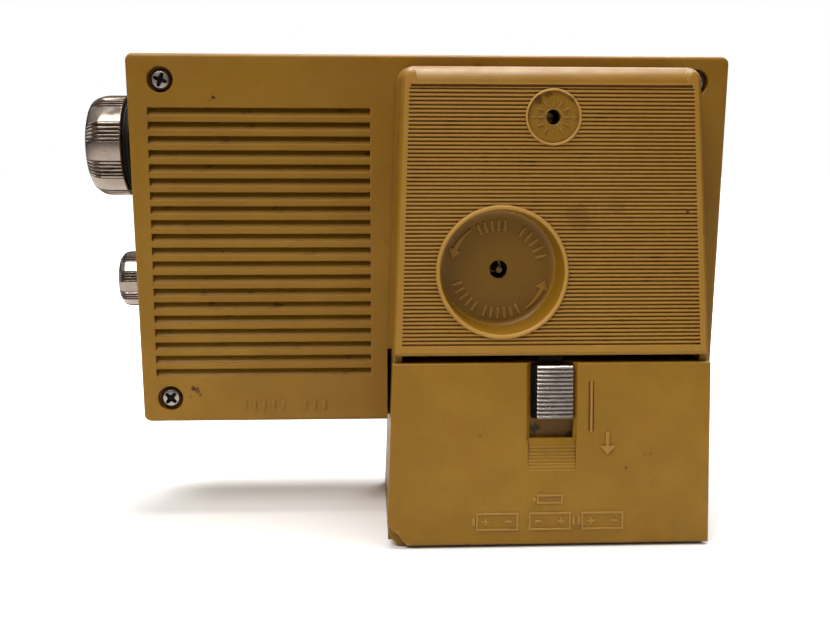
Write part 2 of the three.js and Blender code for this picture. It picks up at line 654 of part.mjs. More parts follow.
function dialPointer() {
  const bar = box(53.5, 54.5, -39.3, -38.8, SCALE.bottom + 1, SCALE.top + 2.6);
  const carriage = box(51, 57, -39.3, -37.7, SCALE.top + 1.4, SCALE.top + 2.6);
  const cordClip = box(53, 55, -38, -37.1, SCALE.top + 2, SCALE.top + 2.6);
  return join(bar, carriage, cordClip);
}

// The drive cord: off the drum's front, over the near idler, round the far one and back to the drum.
function dialCord() {
  const r = PULLEY.radius + 0.7;
  const high = PULLEY.z + r;
  const low = PULLEY.z - r;
  const drumFront = KNOB_AXIS_Y - DRUM_RADIUS - 1.4;
  return wire(
    [
      [89.4, drumFront, TUNING.z + 4],
      [89, drumFront, high - 5],
      [86, CORD_Y, high - 0.2],
      [82, CORD_Y, high],
      [PULLEY.right, CORD_Y, high],
      [PULLEY.right - r * 0.7, CORD_Y, PULLEY.z + r * 0.7],
      [PULLEY.right - r, CORD_Y, PULLEY.z],
      [PULLEY.right - r * 0.7, CORD_Y, PULLEY.z - r * 0.7],
      [PULLEY.right, CORD_Y, low],
      [80, CORD_Y, low],
      [88, drumFront + 0.2, low - 2],
      [89.4, drumFront, TUNING.z - 2],
    ],
    0.25, 4, 33);
}

const cordPulley = (x) =>
  turnedY(
    [[0, CORD_Y - 0.9], [PULLEY.radius, CORD_Y - 0.9], [PULLEY.radius - 0.5, CORD_Y],
      [PULLEY.radius, CORD_Y + 0.9], [1, CORD_Y + 0.9], [1, CORD_Y + 5], [0, CORD_Y + 5]],
    x, PULLEY.z, 16);

// ---------------------------------------------------------------- clock
const clockBezel = () =>
  turnedY(
    [[CLOCK.openingRadius - 3.4, -BODY_DEPTH - 0.6], [CLOCK.openingRadius - 1, -BODY_DEPTH - 1.8],
      [CLOCK.openingRadius + 1.2, -BODY_DEPTH - 1.2], [CLOCK.openingRadius + 1.6, -BODY_DEPTH - 0.1],
      [CLOCK.openingRadius - 0.3, -BODY_DEPTH - 0.1], [CLOCK.openingRadius - 0.3, -BODY_DEPTH + 2],
      [CLOCK.openingRadius - 3.4, -BODY_DEPTH + 2], [CLOCK.openingRadius - 3.4, -BODY_DEPTH - 0.6]],
    CLOCK.x, CLOCK.z, 36);

function clockLens() {
  const radius = CLOCK.openingRadius - 3.7;
  return turnedY(
    [[0, -BODY_DEPTH + 0.4], [radius, -BODY_DEPTH + 0.8], [radius, -BODY_DEPTH + 2], [0, -BODY_DEPTH + 1.6]],
    CLOCK.x, CLOCK.z, 40);
}

const clockDial = () =>
  cut(barY(CLOCK.dialRadius, -35.2, -34.4, CLOCK.x, CLOCK.z, 40), barY(3.8, -36, -34, CLOCK.x, CLOCK.z, 16));

function clockMovement() {
  const front = -34.2;
  const back = 9;
  const deep = rectangle(-68, -8, 36, 106, 6);
  const shallow = rectangle(-72, -10, 32, 92, 6);
  const shell = join(alongY(deep, -24, back, 3), alongY(shallow, front, -23, 3));
  const arbor = barY(3.8, front - 1, front + 6, CLOCK.x, CLOCK.z, 16);
  const stem = barY(3.4, -2, back + 1, SET_SHAFT.x, SET_SHAFT.z, 20);
  const regulator = barY(2.6, 5, back + 1, REGULATOR.x, REGULATOR.z, 16);
  return cut(shell, arbor, stem, regulator);
}

// A clock hand: a blade at its dial angle on a hub tube.
function clockHand({ y, angle, length, width, tail, hub, tube, bore }) {
  const blade = polygon([[-width * 0.3, -tail], [width * 0.3, -tail], [width / 2, length * 0.7], [0, length],
    [-width / 2, length * 0.7]]);
  const turn = -THREE.MathUtils.degToRad(angle);
  const flat = alongY(blade, y, y + HAND_THICKNESS).rotateY(-turn).translate(CLOCK.x, 0, CLOCK.z);
  const disc = barY(hub, y, y + HAND_THICKNESS, CLOCK.x, CLOCK.z, 20);
  const sleeve = barY(tube, y, HAND_TUBE_END, CLOCK.x, CLOCK.z, 20);
  const body = join(flat, disc, sleeve);
  return bore > 0 ? cut(body, barY(bore, y - 1, HAND_TUBE_END + 1, CLOCK.x, CLOCK.z, 16)) : body;
}

function setPinion() {
  const rear = 8;
  const [bore, neck, gear, gearDepth] = [1.5, 2.4, 3, 3];
  return turnedY(
    [[bore, 0], [gear, 0], [gear, gearDepth], [neck, gearDepth], [neck, rear], [bore, rear], [bore, 0]],
    SET_SHAFT.x, SET_SHAFT.z, 20);
}

function setShaft() {
  const [front, rear, edge] = [2, 20.7, 0.3];
  const { radius } = SET_SHAFT;
  return turnedY([[0, front], [radius, front], [radius, rear - edge], [radius - edge, rear], [0, rear]],
    SET_SHAFT.x, SET_SHAFT.z, 16);
}

function regulatorScrew() {
  const [front, shoulder, rear] = [5.6, 9.6, 11];
  const blank = turnedY([[0, front], [1, front], [1, shoulder], [2, shoulder], [2, rear], [0, rear]],
    REGULATOR.x, REGULATOR.z, 16);
  const half = 0.35;
  return cut(blank, box(REGULATOR.x - 3, REGULATOR.x + 3, rear - half * 2, rear + 1,
    REGULATOR.z - half, REGULATOR.z + half));
}

// ---------------------------------------------------------------- radio works
const speakerBasket = () =>
  turnedY(
    [[SPEAKER.radius - 3, -39.2], [SPEAKER.radius, -39.2], [SPEAKER.radius, -38], [SPEAKER.radius - 2, -36.5],
      [17.5, -25], [6, -24.2], [6, -25.4], [16.5, -26.2], [SPEAKER.radius - 3.4, -37.4],
      [SPEAKER.radius - 3, -39.2]],
    SPEAKER.x, SPEAKER.z, 24);

const speakerCone = () =>
  turnedY(
    [[0, -29.5], [7, -28.6], [SPEAKER.radius - 6, -38.2], [SPEAKER.radius - 4.2, -38.8],
      [SPEAKER.radius - 4.2, -38.2], [SPEAKER.radius - 5.8, -37.6], [7.4, -27.9], [5.5, -27.9], [5.5, -26],
      [0, -26]],
    SPEAKER.x, SPEAKER.z, 24);

const speakerMagnet = () =>
  turnedY([[0, -23.9], [17, -23.9], [17, -22.8], [15.5, -22.8], [15.5, -16], [14.5, -15.2], [0, -15.2]],
    SPEAKER.x, SPEAKER.z, 24);

function circuitBoard() {
  const board = box(BOARD.left, BOARD.right, BOARD.front, BOARD.back, BOARD.bottom, BOARD.top);
  const hole = (x, z) => barY(1.6, BOARD.front - 1, BOARD.back + 1, x, z, 12);
  return cut(board, hole(BOARD.left + 3.6, BOARD.top - 4), hole(BOARD.right - 4, BOARD.bottom + 4));
}

function antennaCoil() {
  const [right, left] = [-20, 6];
  const former = barX(FERRITE.radius + 1.5, right, left, FERRITE.y, FERRITE.z, 20);
  return cut(former, barX(FERRITE.radius + 0.4, right - 1, left + 1, FERRITE.y, FERRITE.z, 20));
}

function rodHolder() {
  const [right, left] = [24, 30];
  const reach = 6.6;
  const { y, z, radius } = FERRITE;
  const block = box(right, left, y - reach, y + reach, z - reach, z + reach - 1);
  const leg = box(right, left, y - reach, y - reach + 1.4, z - reach - 2.4, z - reach + 1.6);
  return cut(join(block, leg), barX(radius + 0.3, right - 4, left + 4, y, z, 20));
}

function volumeControl() {
  const can = barX(8, 82, 93.4, KNOB_AXIS_Y, VOLUME.z, 24);
  const tags = box(84, 86, KNOB_AXIS_Y - 5, KNOB_AXIS_Y + 5, VOLUME.z - 12, VOLUME.z - 6);
  return cut(join(can, tags), barX(3.2, 88, 95, KNOB_AXIS_Y, VOLUME.z, 20));
}

function volumeShaft() {
  const [radius, near, far] = [2.8, 88.6, VOLUME.inner + 5];
  return turnedX([[0, near], [radius, near], [radius, far], [0, far]], KNOB_AXIS_Y, VOLUME.z, 20);
}

function tuningCapacitor() {
  const body = box(66, 83.6, -30, -10, 82, 102);
  return cut(body, barX(3.3, 80, 90, KNOB_AXIS_Y, TUNING.z, 16));
}

const canOnBoard = (x, z) => box(x - 5, x + 5, PARTS_FRONT, PARTS_BACK, z - 5, z + 5);

function transformer(x, z) {
  const core = box(x - 7, x + 7, PARTS_FRONT + 1, PARTS_BACK, z - 5.5, z + 5.5);
  const coil = box(x - 5, x + 5, PARTS_FRONT - 0.5, PARTS_BACK - 1.1, z - 7.5, z + 7.5);
  return join(core, coil);
}

// A can with a rolled groove near its foot.
function electrolytic(x, z) {
  const [radius, front, groove] = [5, -29, -14.4];
  return turnedY(
    [[0, front], [radius - 0.6, front], [radius, front + 0.6], [radius, groove - 0.4], [radius - 0.4, groove],
      [radius, groove + 0.4], [radius, PARTS_BACK], [0, PARTS_BACK]],
    x, z, 18);
}

function switchBody() {
  const { left, right, bottom, top } = SWITCH;
  const body = box(left - 1, right + 1, -37.7, -33, bottom - 1.4, top + 1.4);
  return join(body, box(left - 3, right + 3, -38.2, -37.6, bottom - 0.6, top + 0.6));
}

function switchButton() {
  const middle = (SWITCH.left + SWITCH.right) / 2;
  const [reach, slider] = [3.5, 7];
  const cap = rectangle(middle - reach, middle + reach, SWITCH.bottom + 0.3, SWITCH.top - 0.3, 0.6);
  const tray = box(middle - slider, middle + slider, -39.3, -38.6, SWITCH.bottom - 0.4, SWITCH.top + 0.4);
  return join(alongY(cap, -BODY_DEPTH - 1.6, -38.8), tray);
}

// ---------------------------------------------------------------- assembly
piece("front_cabinet", frontCabinet(), "mustard");
piece("rear_cover", rearCover(), "mustard");
piece("battery_housing", batteryHousing(), "mustard");
for (const [name, x, z] of screwPlaces) {
  piece(name, screw(x, z), "chrome");
}
piece("battery_door", batteryDoor(), "mustard");
piece("battery_latch", batteryLatch(), "chrome");

piece("speaker_grille", speakerGrille(), "grille");
piece("dial_window",
  alongY(rectangle(SCALE.left + 0.3, SCALE.right - 0.3, SCALE.bottom + 0.3, SCALE.top - 0.3, 1.4),
    -BODY_DEPTH, -BODY_DEPTH + 1.4), "clear");
piece("dial_scale",
  box(SCALE.left - 2, SCALE.right - 2, -38.5, -37.9, SCALE.bottom - 1.6, SCALE.top + 1), "black");
piece("dial_pointer", dialPointer(), "red");
piece("dial_cord", dialCord(), "white");
piece("cord_pulley_left", cordPulley(PULLEY.left), "brass");
piece("cord_pulley_right", cordPulley(PULLEY.right), "brass");

piece("clock_bezel", clockBezel(), "chrome");
piece("clock_lens", clockLens(), "clear");
piece("clock_dial", clockDial(), "white");
piece("clock_movement", clockMovement(), "black");
for (const [name, sizes] of Object.entries(HANDS)) {
  const red = name === "alarm_hand" || name === "second_hand";
  piece(name, clockHand(sizes), red ? "red" : "black");
}
piece("set_pinion", setPinion(), "brass");
piece("set_shaft", setShaft(), "brass");
piece("regulator_screw", regulatorScrew(), "brass");

piece("tuning_knob_cap", flutedKnob(TUNING, 5, 3.6, TUNING.radius - 1.2, 10.4), "chrome");
piece("tuning_knob_core", tuningCore(), "black");
piece("cord_drum", cordDrum(), "white");
piece("volume_knob", flutedKnob(VOLUME, 3, 2, 3, 5.4), "chrome");
piece("volume_shaft", volumeShaft(), "white");
piece("volume_control", volumeControl(), "steel");
piece("tuning_capacitor", tuningCapacitor(), "white");
piece("function_switch", switchBody(), "steel");
piece("switch_button", switchButton(), "black");

piece("speaker_basket", speakerBasket(), "steel");
piece("speaker_cone", speakerCone(), "paper");
piece("speaker_magnet", speakerMagnet(), "steel");
piece("circuit_board", circuitBoard(), "board");
piece("if_can_1", canOnBoard(24, 70), "steel");
piece("if_can_2", canOnBoard(24, 55), "steel");
piece("if_can_3", canOnBoard(24, 40), "steel");
piece("driver_transformer", transformer(28, 16), "steel");
piece("output_transformer", transformer(47, 15), "steel");
piece("electrolytic_1", electrolytic(72, 18), "blue");
piece("electrolytic_2", electrolytic(73, 71), "blue");
piece("ferrite_rod", barX(FERRITE.radius, FERRITE.right, FERRITE.left, FERRITE.y, FERRITE.z, 16), "ferrite");
piece("antenna_coil", antennaCoil(), "brass");
piece("rod_holder", rodHolder(), "white");

for (let i = 0; i < 3; i += 1) {
  const x = CELL_MIDDLE_X + (1 - i) * CELL_PITCH;
  piece(`battery_cell_${i + 1}`, batteryCell(x), "jacket");
  piece(`cell_spring_${i + 1}`, cellSpring(x), "steel");
  const foot = CELL_TOP + 0.4;
  const contact = box(x - 7, x + 7, CELL_Y - 6, CELL_Y + 6, foot, foot + CONTACT_THICKNESS);
  piece(`cell_contact_${i + 1}`, contact, "steel");
}

export default radio;
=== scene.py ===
"""The looks of a portable clock radio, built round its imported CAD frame.

Shapes are written in the cabinet's own frame, in millimetres: x = 0 at the cabinet's middle, y = 0 on
the rear panel and z = 0 at the cabinet's underside. piece() moves each one into the row frame in metres.
The radio faces -Y, and its louvred back, clock housing and battery door face +Y.
"""
import json
import math

import bmesh
import bpy
from mathutils import Matrix, Vector


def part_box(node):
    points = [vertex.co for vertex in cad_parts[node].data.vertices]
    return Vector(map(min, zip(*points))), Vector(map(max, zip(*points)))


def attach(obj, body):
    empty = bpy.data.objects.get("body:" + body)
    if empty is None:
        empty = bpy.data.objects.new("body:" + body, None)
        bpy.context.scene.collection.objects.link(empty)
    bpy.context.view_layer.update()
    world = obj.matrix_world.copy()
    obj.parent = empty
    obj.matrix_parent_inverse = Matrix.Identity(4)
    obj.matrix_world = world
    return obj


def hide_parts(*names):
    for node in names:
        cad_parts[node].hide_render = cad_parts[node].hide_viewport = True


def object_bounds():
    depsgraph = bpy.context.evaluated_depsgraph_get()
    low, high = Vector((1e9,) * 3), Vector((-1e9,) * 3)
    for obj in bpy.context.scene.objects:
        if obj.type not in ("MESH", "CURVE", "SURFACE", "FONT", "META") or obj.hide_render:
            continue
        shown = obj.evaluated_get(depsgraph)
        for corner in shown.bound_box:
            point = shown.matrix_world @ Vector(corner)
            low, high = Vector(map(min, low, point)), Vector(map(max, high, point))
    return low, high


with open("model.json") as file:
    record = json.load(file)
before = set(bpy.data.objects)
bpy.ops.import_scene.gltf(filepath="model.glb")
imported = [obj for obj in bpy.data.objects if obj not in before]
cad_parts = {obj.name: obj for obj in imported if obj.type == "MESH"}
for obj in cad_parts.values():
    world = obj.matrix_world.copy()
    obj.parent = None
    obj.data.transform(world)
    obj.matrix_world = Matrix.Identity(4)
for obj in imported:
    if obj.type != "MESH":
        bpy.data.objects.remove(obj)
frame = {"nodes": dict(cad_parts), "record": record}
cad_low, cad_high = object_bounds()

MM = 0.001
SLOT_OF = {part["node"]: part["material_slot"] for part in frame["record"]["subparts"]}
BODY_OF = {node: body for body, nodes in frame["record"]["behaviour"]["bodies"].items() for node in nodes}

# ------------------------------------------------------------------ driving dimensions
BODY_DEPTH = 42
cabinet_low, cabinet_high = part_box("front_cabinet")
ORIGIN = Vector(((cabinet_low.x + cabinet_high.x) / 2, cabinet_low.y + BODY_DEPTH * MM, cabinet_low.z))


def extent(node):
    """Lowest and highest corner of a CAD node in the cabinet's frame, in millimetres."""
    low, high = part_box(node)
    return (low - ORIGIN) / MM, (high - ORIGIN) / MM


body_low, body_high = extent("front_cabinet")
BODY_TOP_WIDTH = body_high.x - body_low.x
BODY_BOTTOM_WIDTH = BODY_TOP_WIDTH - 3.8
BODY_HEIGHT = body_high.z
BODY_CORNER = 2.4
FRONT = -BODY_DEPTH
WALL = 2.4
REAR_RIM = 6
SEAM = 0.2

HOUSING_DEPTH_AT_TOP = 20
BACK_SLOPE = 0.087
HOUSING_TOP = 116
HOUSING_UNDERSIDE = 27.3
HOUSING_CORNER = 4.6
HOUSING_CREST = 6
HOUSING_EDGE = 1.6
HOUSING_FOOT_EDGE = 1.0
HOUSING_DRAFT = 0.055
RIB_PITCH = 1.22
RIB_TOP = 108.9
RIB_COUNT = 65
RIB_MARGIN = 2.45
# Half the width of a groove at each depth: a rib's groove, and the deeper line above the ribs.
RIB_SHOULDER = ((0.3, 0.56), (-0.05, 0.36), (-0.16, 0.25), (-0.62, 0.17))
LINE_SHOULDER = ((0.4, 0.62), (-0.75, 0.25))
LINE_ABOVE_RIBS = 0.95

LOUVRE_COUNT = 20
LOUVRE_PITCH = 4.52
LOUVRE_SLOT = 2.35
LOUVRE_TOP = 103.85
LOUVRE_X = (19.7, 91.4)
LOUVRE_BEND = -0.7
LOUVRE_BACK = -5.4
LOUVRE_RISE = 5.6
TALLY_X = (62.2, 59.0, 55.8, 52.6, 49.4, 42.0, 38.8, 35.6)

DISH = Vector((-20.8, 0, 53.2))
DISH_RIM = 20.4
DISH_FLOOR = 18.3
DISH_SHIFT = (0.7, 0.6)
DISH_FLOOR_Y = 19
FLOOR_ARROWS = ((55, 23), (235, 203))
FLOOR_BARS = ((64, 98, 5), (122, 163, 5), (244, 288, 6), (303, 341, 5))
ARROW_RADIUS = 15.2
SHAFT = Vector((-20.4, 0, 53.4))
SHAFT_HOLE = 2.85
REGULATOR = Vector((-36.4, 0, 100.5))
REGULATOR_RIM = 8.6
REGULATOR_HOLE = 2.35
REGULATOR_DEPTH = 0.55

# Each cover screw's x, z and turn in degrees.
SCREWS = {
    "cover_screw_upper_left": (87, 112.7, 20),
    "cover_screw_upper_right": (-87, 112.7, 65),
    "cover_screw_lower_left": (87, 8, 42),
    "cover_screw_lower_right": (-91, 8, 10),
}
SCREW_RECESS = 4.15
SCREW_HEAD = 3.2
SCREW_FOOT = -3.1
SCREW_TOP = -0.75

DOOR_TOP = 25
DOOR_BOTTOM = -32.2
DOOR_THICKNESS = 2.4
DOOR_RIGHT = -86.6
DOOR_EDGE = 0.55
BOX_REACH = 0.6
PLINTH_BOTTOM = -33
PLINTH_FRONT = -36
BAY_FRONT = -8
BAY_TOP = 24.4
BOX_WALL = 2.2
LATCH_SLOT = (-43.4, -29.7)
LATCH_SLOT_FOOT = 1.2
RAMP_DEPTH = 1.25
RAMP_FOOT = -10.1
HINGE_HOOKS = (-8, -64)
# The door's broken corner, from its right edge down to its foot and round outside it.
CHIP = ((15.6, -23.4), (14.9, -24.3), (14.0, -25.3), (12.7, -26.9), (11.4, -28.1), (10.5, -29.1),
        (9.6, -30.3), (8.8, -31.4), (7.9, -32.6), (7.2, -36), (22, -36), (22, -23.4))
CHIP_BREAK = range(1, 9)
CHIP_LEAN = 0.9
CHIP_JAG = 0.16

KNOB_AXIS_Y = -20
KNOB_PERIOD = math.pi / 4
CLOCK = Vector((-41, 0, 62))
CLOCK_OPENING = 42
GRILLE = (16, 92, 11, 78)
SCALE = (16, 92, 88, 106)
SWITCH_SLOT = (60, 82, 81.6, 84.4)


def face_y(z):
    """The sloping plane that the clock housing and the battery door share."""
    return HOUSING_DEPTH_AT_TOP + BACK_SLOPE * (BODY_HEIGHT - z)


def half_width(z):
    return (BODY_BOTTOM_WIDTH + (BODY_TOP_WIDTH - BODY_BOTTOM_WIDTH) * z / BODY_HEIGHT) / 2


def housing_left(z):
    return 12.85 - 0.0312 * (z - 25)


def housing_right(z):
    return -82.5 - 0.0407 * (105.6 - z)


def door_left(z):
    return 13.2 + 0.035 * (DOOR_TOP - z)


# ------------------------------------------------------------------ shapes as (vertices, faces)
def rectangle(x0, x1, z0, z1):
    return [(x0, z0), (x1, z0), (x1, z1), (x0, z1)]


def rounded(corners, radii, steps=5):
    """A closed outline through the corners, each rounded with its own tangent arc."""
    if not isinstance(radii, (list, tuple)):
        radii = [radii] * len(corners)
    points = []
    for i, corner in enumerate(corners):
        here = Vector(corner)
        before = (Vector(corners[i - 1]) - here).normalized()
        after = (Vector(corners[(i + 1) % len(corners)]) - here).normalized()
        half = before.angle(after) / 2
        reach = radii[i] / math.tan(half)
        centre = here + (before + after).normalized() * radii[i] / math.sin(half)
        start = here + before * reach - centre
        sweep = start.angle_signed(here + after * reach - centre)
        for k in range(steps + 1):
            turn = Matrix.Rotation(-sweep * k / steps, 2)
            points.append(tuple(centre + turn @ start))
    return points


def circle(x, z, radius, sides):
    return [(x + radius * math.cos(a), z + radius * math.sin(a))
            for a in (2 * math.pi * k / sides for k in range(sides))]


def radial_bar(centre, angle, near, far, half_near, half_far):
    """The outline of a bar that points away from a centre, at an angle from +X towards +Z."""
    out = Vector((math.cos(angle), math.sin(angle)))
    across = Vector((-math.sin(angle), math.cos(angle)))
    corners = ((near, -half_near), (far, -half_far), (far, half_far), (near, half_near))
    return [tuple(centre.xz + out * along + across * aside) for along, aside in corners]


def at_y(outline, y):
    """An (x, z) outline as a ring at depth y."""
    return [(x, y, z) for x, z in outline]


def loft(rings):
    """A closed solid through rings of equally many points, with flat ends."""
    count = len(rings[0])
    faces = []
    for r in range(len(rings) - 1):
        for i in range(count):
            j = (i + 1) % count
            faces.append((r * count + i, r * count + j, (r + 1) * count + j, (r + 1) * count + i))
    last = (len(rings) - 1) * count
    faces.append(tuple(range(count)))
    faces.append(tuple(range(last, last + count)))
    return [p for ring in rings for p in ring], faces


def slab(outline, y0, y1):
    """An (x, z) outline swept along y."""
    return loft([at_y(outline, y0), at_y(outline, y1)])


def swept(outline, x0, x1):
    """A (y, z) outline swept along x."""
    return loft([[(x, y, z) for y, z in outline] for x in (x0, x1)])


def block(x0, x1, y0, y1, z0, z1):
    return slab(rectangle(x0, x1, z0, z1), y0, y1)


def rod(x, z, radius, y0, y1, sides):
    return slab(circle(x, z, radius, sides), y0, y1)


def quarter_round(radius, steps):
    """(inset, drop) pairs of a rounded edge, from the side wall over to the flat."""
    for k in range(steps + 1):
        a = math.pi / 2 * k / steps
        yield radius * (1 - math.cos(a)), radius * (1 - math.sin(a))


def edged(outline, y0, y1, radius, steps=4):
    """outline(inset) swept from y0 to y1, with a rounded edge at the y1 end."""
    way = 1 if y1 > y0 else -1
    rings = [at_y(outline(0), y0)]
    rings += [at_y(outline(inset), y1 - way * drop) for inset, drop in quarter_round(radius, steps)]
    return loft(rings)


def turned(profile, centre=(0, 0, 0), axis="y", sides=48, lobes=None):
    """(radius, distance) pairs turned about an axis: a closed loop, or a path from axis to axis.
    lobes(angle, radius) may change the radius round the turn."""
    verts, rows = [], []
    for radius, along in profile:
        if radius == 0:
            rows.append([len(verts)] * sides)
            verts.append((0, along, 0))
            continue
        rows.append(list(range(len(verts), len(verts) + sides)))
        for k in range(sides):
            a = 2 * math.pi * k / sides
            r = lobes(a, radius) if lobes else radius
            verts.append((r * math.cos(a), along, r * math.sin(a)))
    if profile[0][0] != 0:
        rows.append(rows[0])
    faces = []
    for low, high in zip(rows, rows[1:]):
        for k in range(sides):
            j = (k + 1) % sides
            faces.append(tuple(dict.fromkeys([low[k], low[j], high[j], high[k]])))
    if axis == "x":
        verts = [(b, a, c) for a, b, c in verts]
    elif axis == "z":
        verts = [(a, c, b) for a, b, c in verts]
    return [tuple(Vector(v) + Vector(centre)) for v in verts], [f for f in faces if len(f) > 2]


def tube(inner, outer, start, end, centre, axis="y", sides=40):
    """A plain ring about an axis, or a plain cylinder where inner is 0."""
    return turned([(inner, start), (outer, start), (outer, end), (inner, end)], centre, axis, sides)


def together(*shapes):
    verts, faces = [], []
    for shape_verts, shape_faces in shapes:
        faces += [tuple(i + len(verts) for i in face) for face in shape_faces]
        verts += shape_verts
    return verts, faces


def shifted(shape, move):
    """The shape with move(x, y, z) applied to each of its vertices."""
    return [tuple(move(*v)) for v in shape[0]], shape[1]


def on_face(shape):
    """A shape built against y = 0, laid on the sloping plane."""
    return shifted(shape, lambda x, y, z: (x, y + face_y(z), z))


def as_mesh(name, shape):
    mesh = bpy.data.meshes.new(name)
    mesh.from_pydata([Vector(v) for v in shape[0]], [], shape[1])
    work = bmesh.new()
    work.from_mesh(mesh)
    bmesh.ops.recalc_face_normals(work, faces=work.faces)
    work.to_mesh(mesh)
    work.free()
    return mesh


def placed(name, data):
    """A new object in the scene."""
    thing = bpy.data.objects.new(name, data)
    bpy.context.scene.collection.objects.link(thing)
    return thing


def boolean(base, tool, operation):
    first, second = [placed("boolean", as_mesh("boolean", shape)) for shape in (base, tool)]
    modifier = first.modifiers.new("boolean", "BOOLEAN")
    modifier.operation = operation
    modifier.solver = "EXACT"
    modifier.object = second
    seen = first.evaluated_get(bpy.context.evaluated_depsgraph_get()).data
    result = [tuple(v.co) for v in seen.vertices], [tuple(f.vertices) for f in seen.polygons]
    for thing in (first, second):
        bpy.data.objects.remove(thing)
    return result


def cut(base, *tools):
    return boolean(base, together(*tools), "DIFFERENCE")


def join(base, *others):
    return boolean(base, together(*others), "UNION")


def common(base, other):
    return boolean(base, other, "INTERSECT")


def lettering(text, size, x, y, z):
    """Plain figures standing on the plane y and facing -Y, centred on x and z."""
    curve = bpy.data.curves.new("figures", "FONT")
    curve.body = text
    curve.size = size
    curve.extrude = 0.06
    curve.align_x = "CENTER"
    curve.align_y = "CENTER"
    holder = placed("figures", curve)
    mesh = bpy.data.meshes.new_from_object(holder.evaluated_get(bpy.context.evaluated_depsgraph_get()))
    verts = [(x + v.co.x, y - v.co.z, z + v.co.y) for v in mesh.vertices]
    faces = [tuple(f.vertices) for f in mesh.polygons]
    bpy.data.objects.remove(holder)
    return verts, faces


# ------------------------------------------------------------------ node materials
class Nodes:
    """Adds shader nodes to the tree of a material or a world."""

    def __init__(self, owner):
        self.owner = owner
        owner.use_nodes = True
        self.tree = owner.node_tree

    def add(self, kind, inputs=None, **settings):
        node = self.tree.nodes.new("ShaderNode" + kind)
        for key, value in settings.items():
            setattr(node, key, value)
        for key, value in (inputs or {}).items():
            self.feed(node.inputs[key], value)
        return node

    def feed(self, socket, value):
        if isinstance(value, bpy.types.NodeSocket):
            self.tree.links.new(value, socket)
        else:
            socket.default_value = value

    def ramp(self, value, low, high, start=0.0, end=1.0):
        """value from low..high mapped smoothly to start..end."""
        inputs = {"Value": value, "From Min": low, "From Max": high, "To Min": start, "To Max": end}
        return self.add("MapRange", inputs, interpolation_type="SMOOTHSTEP").outputs["Result"]

    def operate(self, operation, *values, kind="Math", output="Value"):
        node = self.add(kind, operation=operation)
        for socket, value in zip(node.inputs, values):
            self.feed(socket, value)
        return node.outputs[output]

    def plus(self, a, b):
        return self.operate("ADD", a, b)

    def minus(self, a, b):
        return self.operate("SUBTRACT", a, b)

    def times(self, a, b):
        return self.operate("MULTIPLY", a, b)

    def length(self, vector):
        return self.operate("LENGTH", vector, kind="VectorMath")

    def mix(self, share, a, b):
        node = self.add("Mix", data_type="RGBA")
        self.feed(node.inputs[0], share)
        self.feed(node.inputs[6], a)
        self.feed(node.inputs[7], b)
        return node.outputs[2]

    def over(self, base, tone, share, strength):
        """The base colour with a tone laid over it, at a share scaled by a strength."""
        return self.mix(self.times(share, strength), base, tone)


class Finish(Nodes):
    """A procedural material. Sizes are in millimetres, and most methods return a node's output socket."""

    def __init__(self, name):
        super().__init__(bpy.data.materials.new(name))
        self.surface = self.tree.nodes["Principled BSDF"]
        self.place = self.add("TexCoord").outputs["Object"]

    def noise(self, size, detail=3, stretch=(1, 1, 1)):
        """Noise whose blobs are about a size across, from 0 to 1."""
        vector = self.add("Mapping", {"Vector": self.place, "Scale": stretch}).outputs[0]
        inputs = {"Vector": vector, "Scale": 1 / (size * MM), "Detail": detail, "Roughness": 0.55}
        return self.add("TexNoise", inputs).outputs["Fac"]

    def cells(self, size):
        """The distance to the nearest of points scattered about a size apart."""
        return self.add("TexVoronoi", {"Vector": self.place, "Scale": 1 / (size * MM)}).outputs["Distance"]

    def patches(self, base, tone, size, detail, low, high, most=1.0):
        """The base colour with blobs of another tone, where the noise runs from low to high."""
        return self.mix(self.ramp(self.noise(size, detail), low, high, 0, most), base, tone)

    def crevices(self, distance, low=0.35, high=0.9):
        """1 deep in grooves and corners, 0 on open surfaces."""
        node = self.add("AmbientOcclusion", {"Distance": distance * MM}, samples=6, only_local=False)
        return self.ramp(node.outputs["AO"], low, high, 1.0, 0.0)

    def softened(self, radius):
        """The surface's normal, with its edges rounded over."""
        return self.add("Bevel", {"Radius": radius * MM}, samples=6).outputs["Normal"]

    def worn(self, soft):
        """1 on edges, where the softened normal turns away from the plain one."""
        plain = self.add("NewGeometry").outputs["Normal"]
        agreement = self.operate("DOT_PRODUCT", soft, plain, kind="VectorMath")
        return self.ramp(agreement, 0.985, 0.80)

    def bump(self, height, depth, normal, strength):
        inputs = {"Height": height, "Distance": depth * MM, "Strength": strength}
        if normal is not None:
            inputs["Normal"] = normal
        return self.add("Bump", inputs).outputs["Normal"]

    def spot(self, x, z, radius, ragged=0.6):
        """A ragged stain round a point given in the cabinet's frame."""
        centre = (ORIGIN.x + x * MM, ORIGIN.y, ORIGIN.z + z * MM)
        offset = self.operate("SUBTRACT", self.place, centre, kind="VectorMath", output="Vector")
        flat = self.operate("MULTIPLY", offset, (1, 0, 1), kind="VectorMath", output="Vector")
        wobble = self.ramp(self.noise(radius * 0.8), 0.2, 0.8, 1 - ragged, 1 + ragged)
        distance = self.operate("DIVIDE", self.length(flat), wobble)
        return self.ramp(distance, radius * MM * 0.55, radius * MM, 1.0, 0.0)

    def finish(self, **inputs):
        for key, value in inputs.items():
            self.feed(self.surface.inputs[key.replace("_", " ")], value)
        return self.owner


def colour(r, g, b):
    """An sRGB colour, 0 to 255, as linear RGBA."""
    def linear(c):
        c = c / 255
        return c / 12.92 if c <= 0.04045 else ((c + 0.055) / 1.055) ** 2.4
    return (linear(r), linear(g), linear(b), 1)


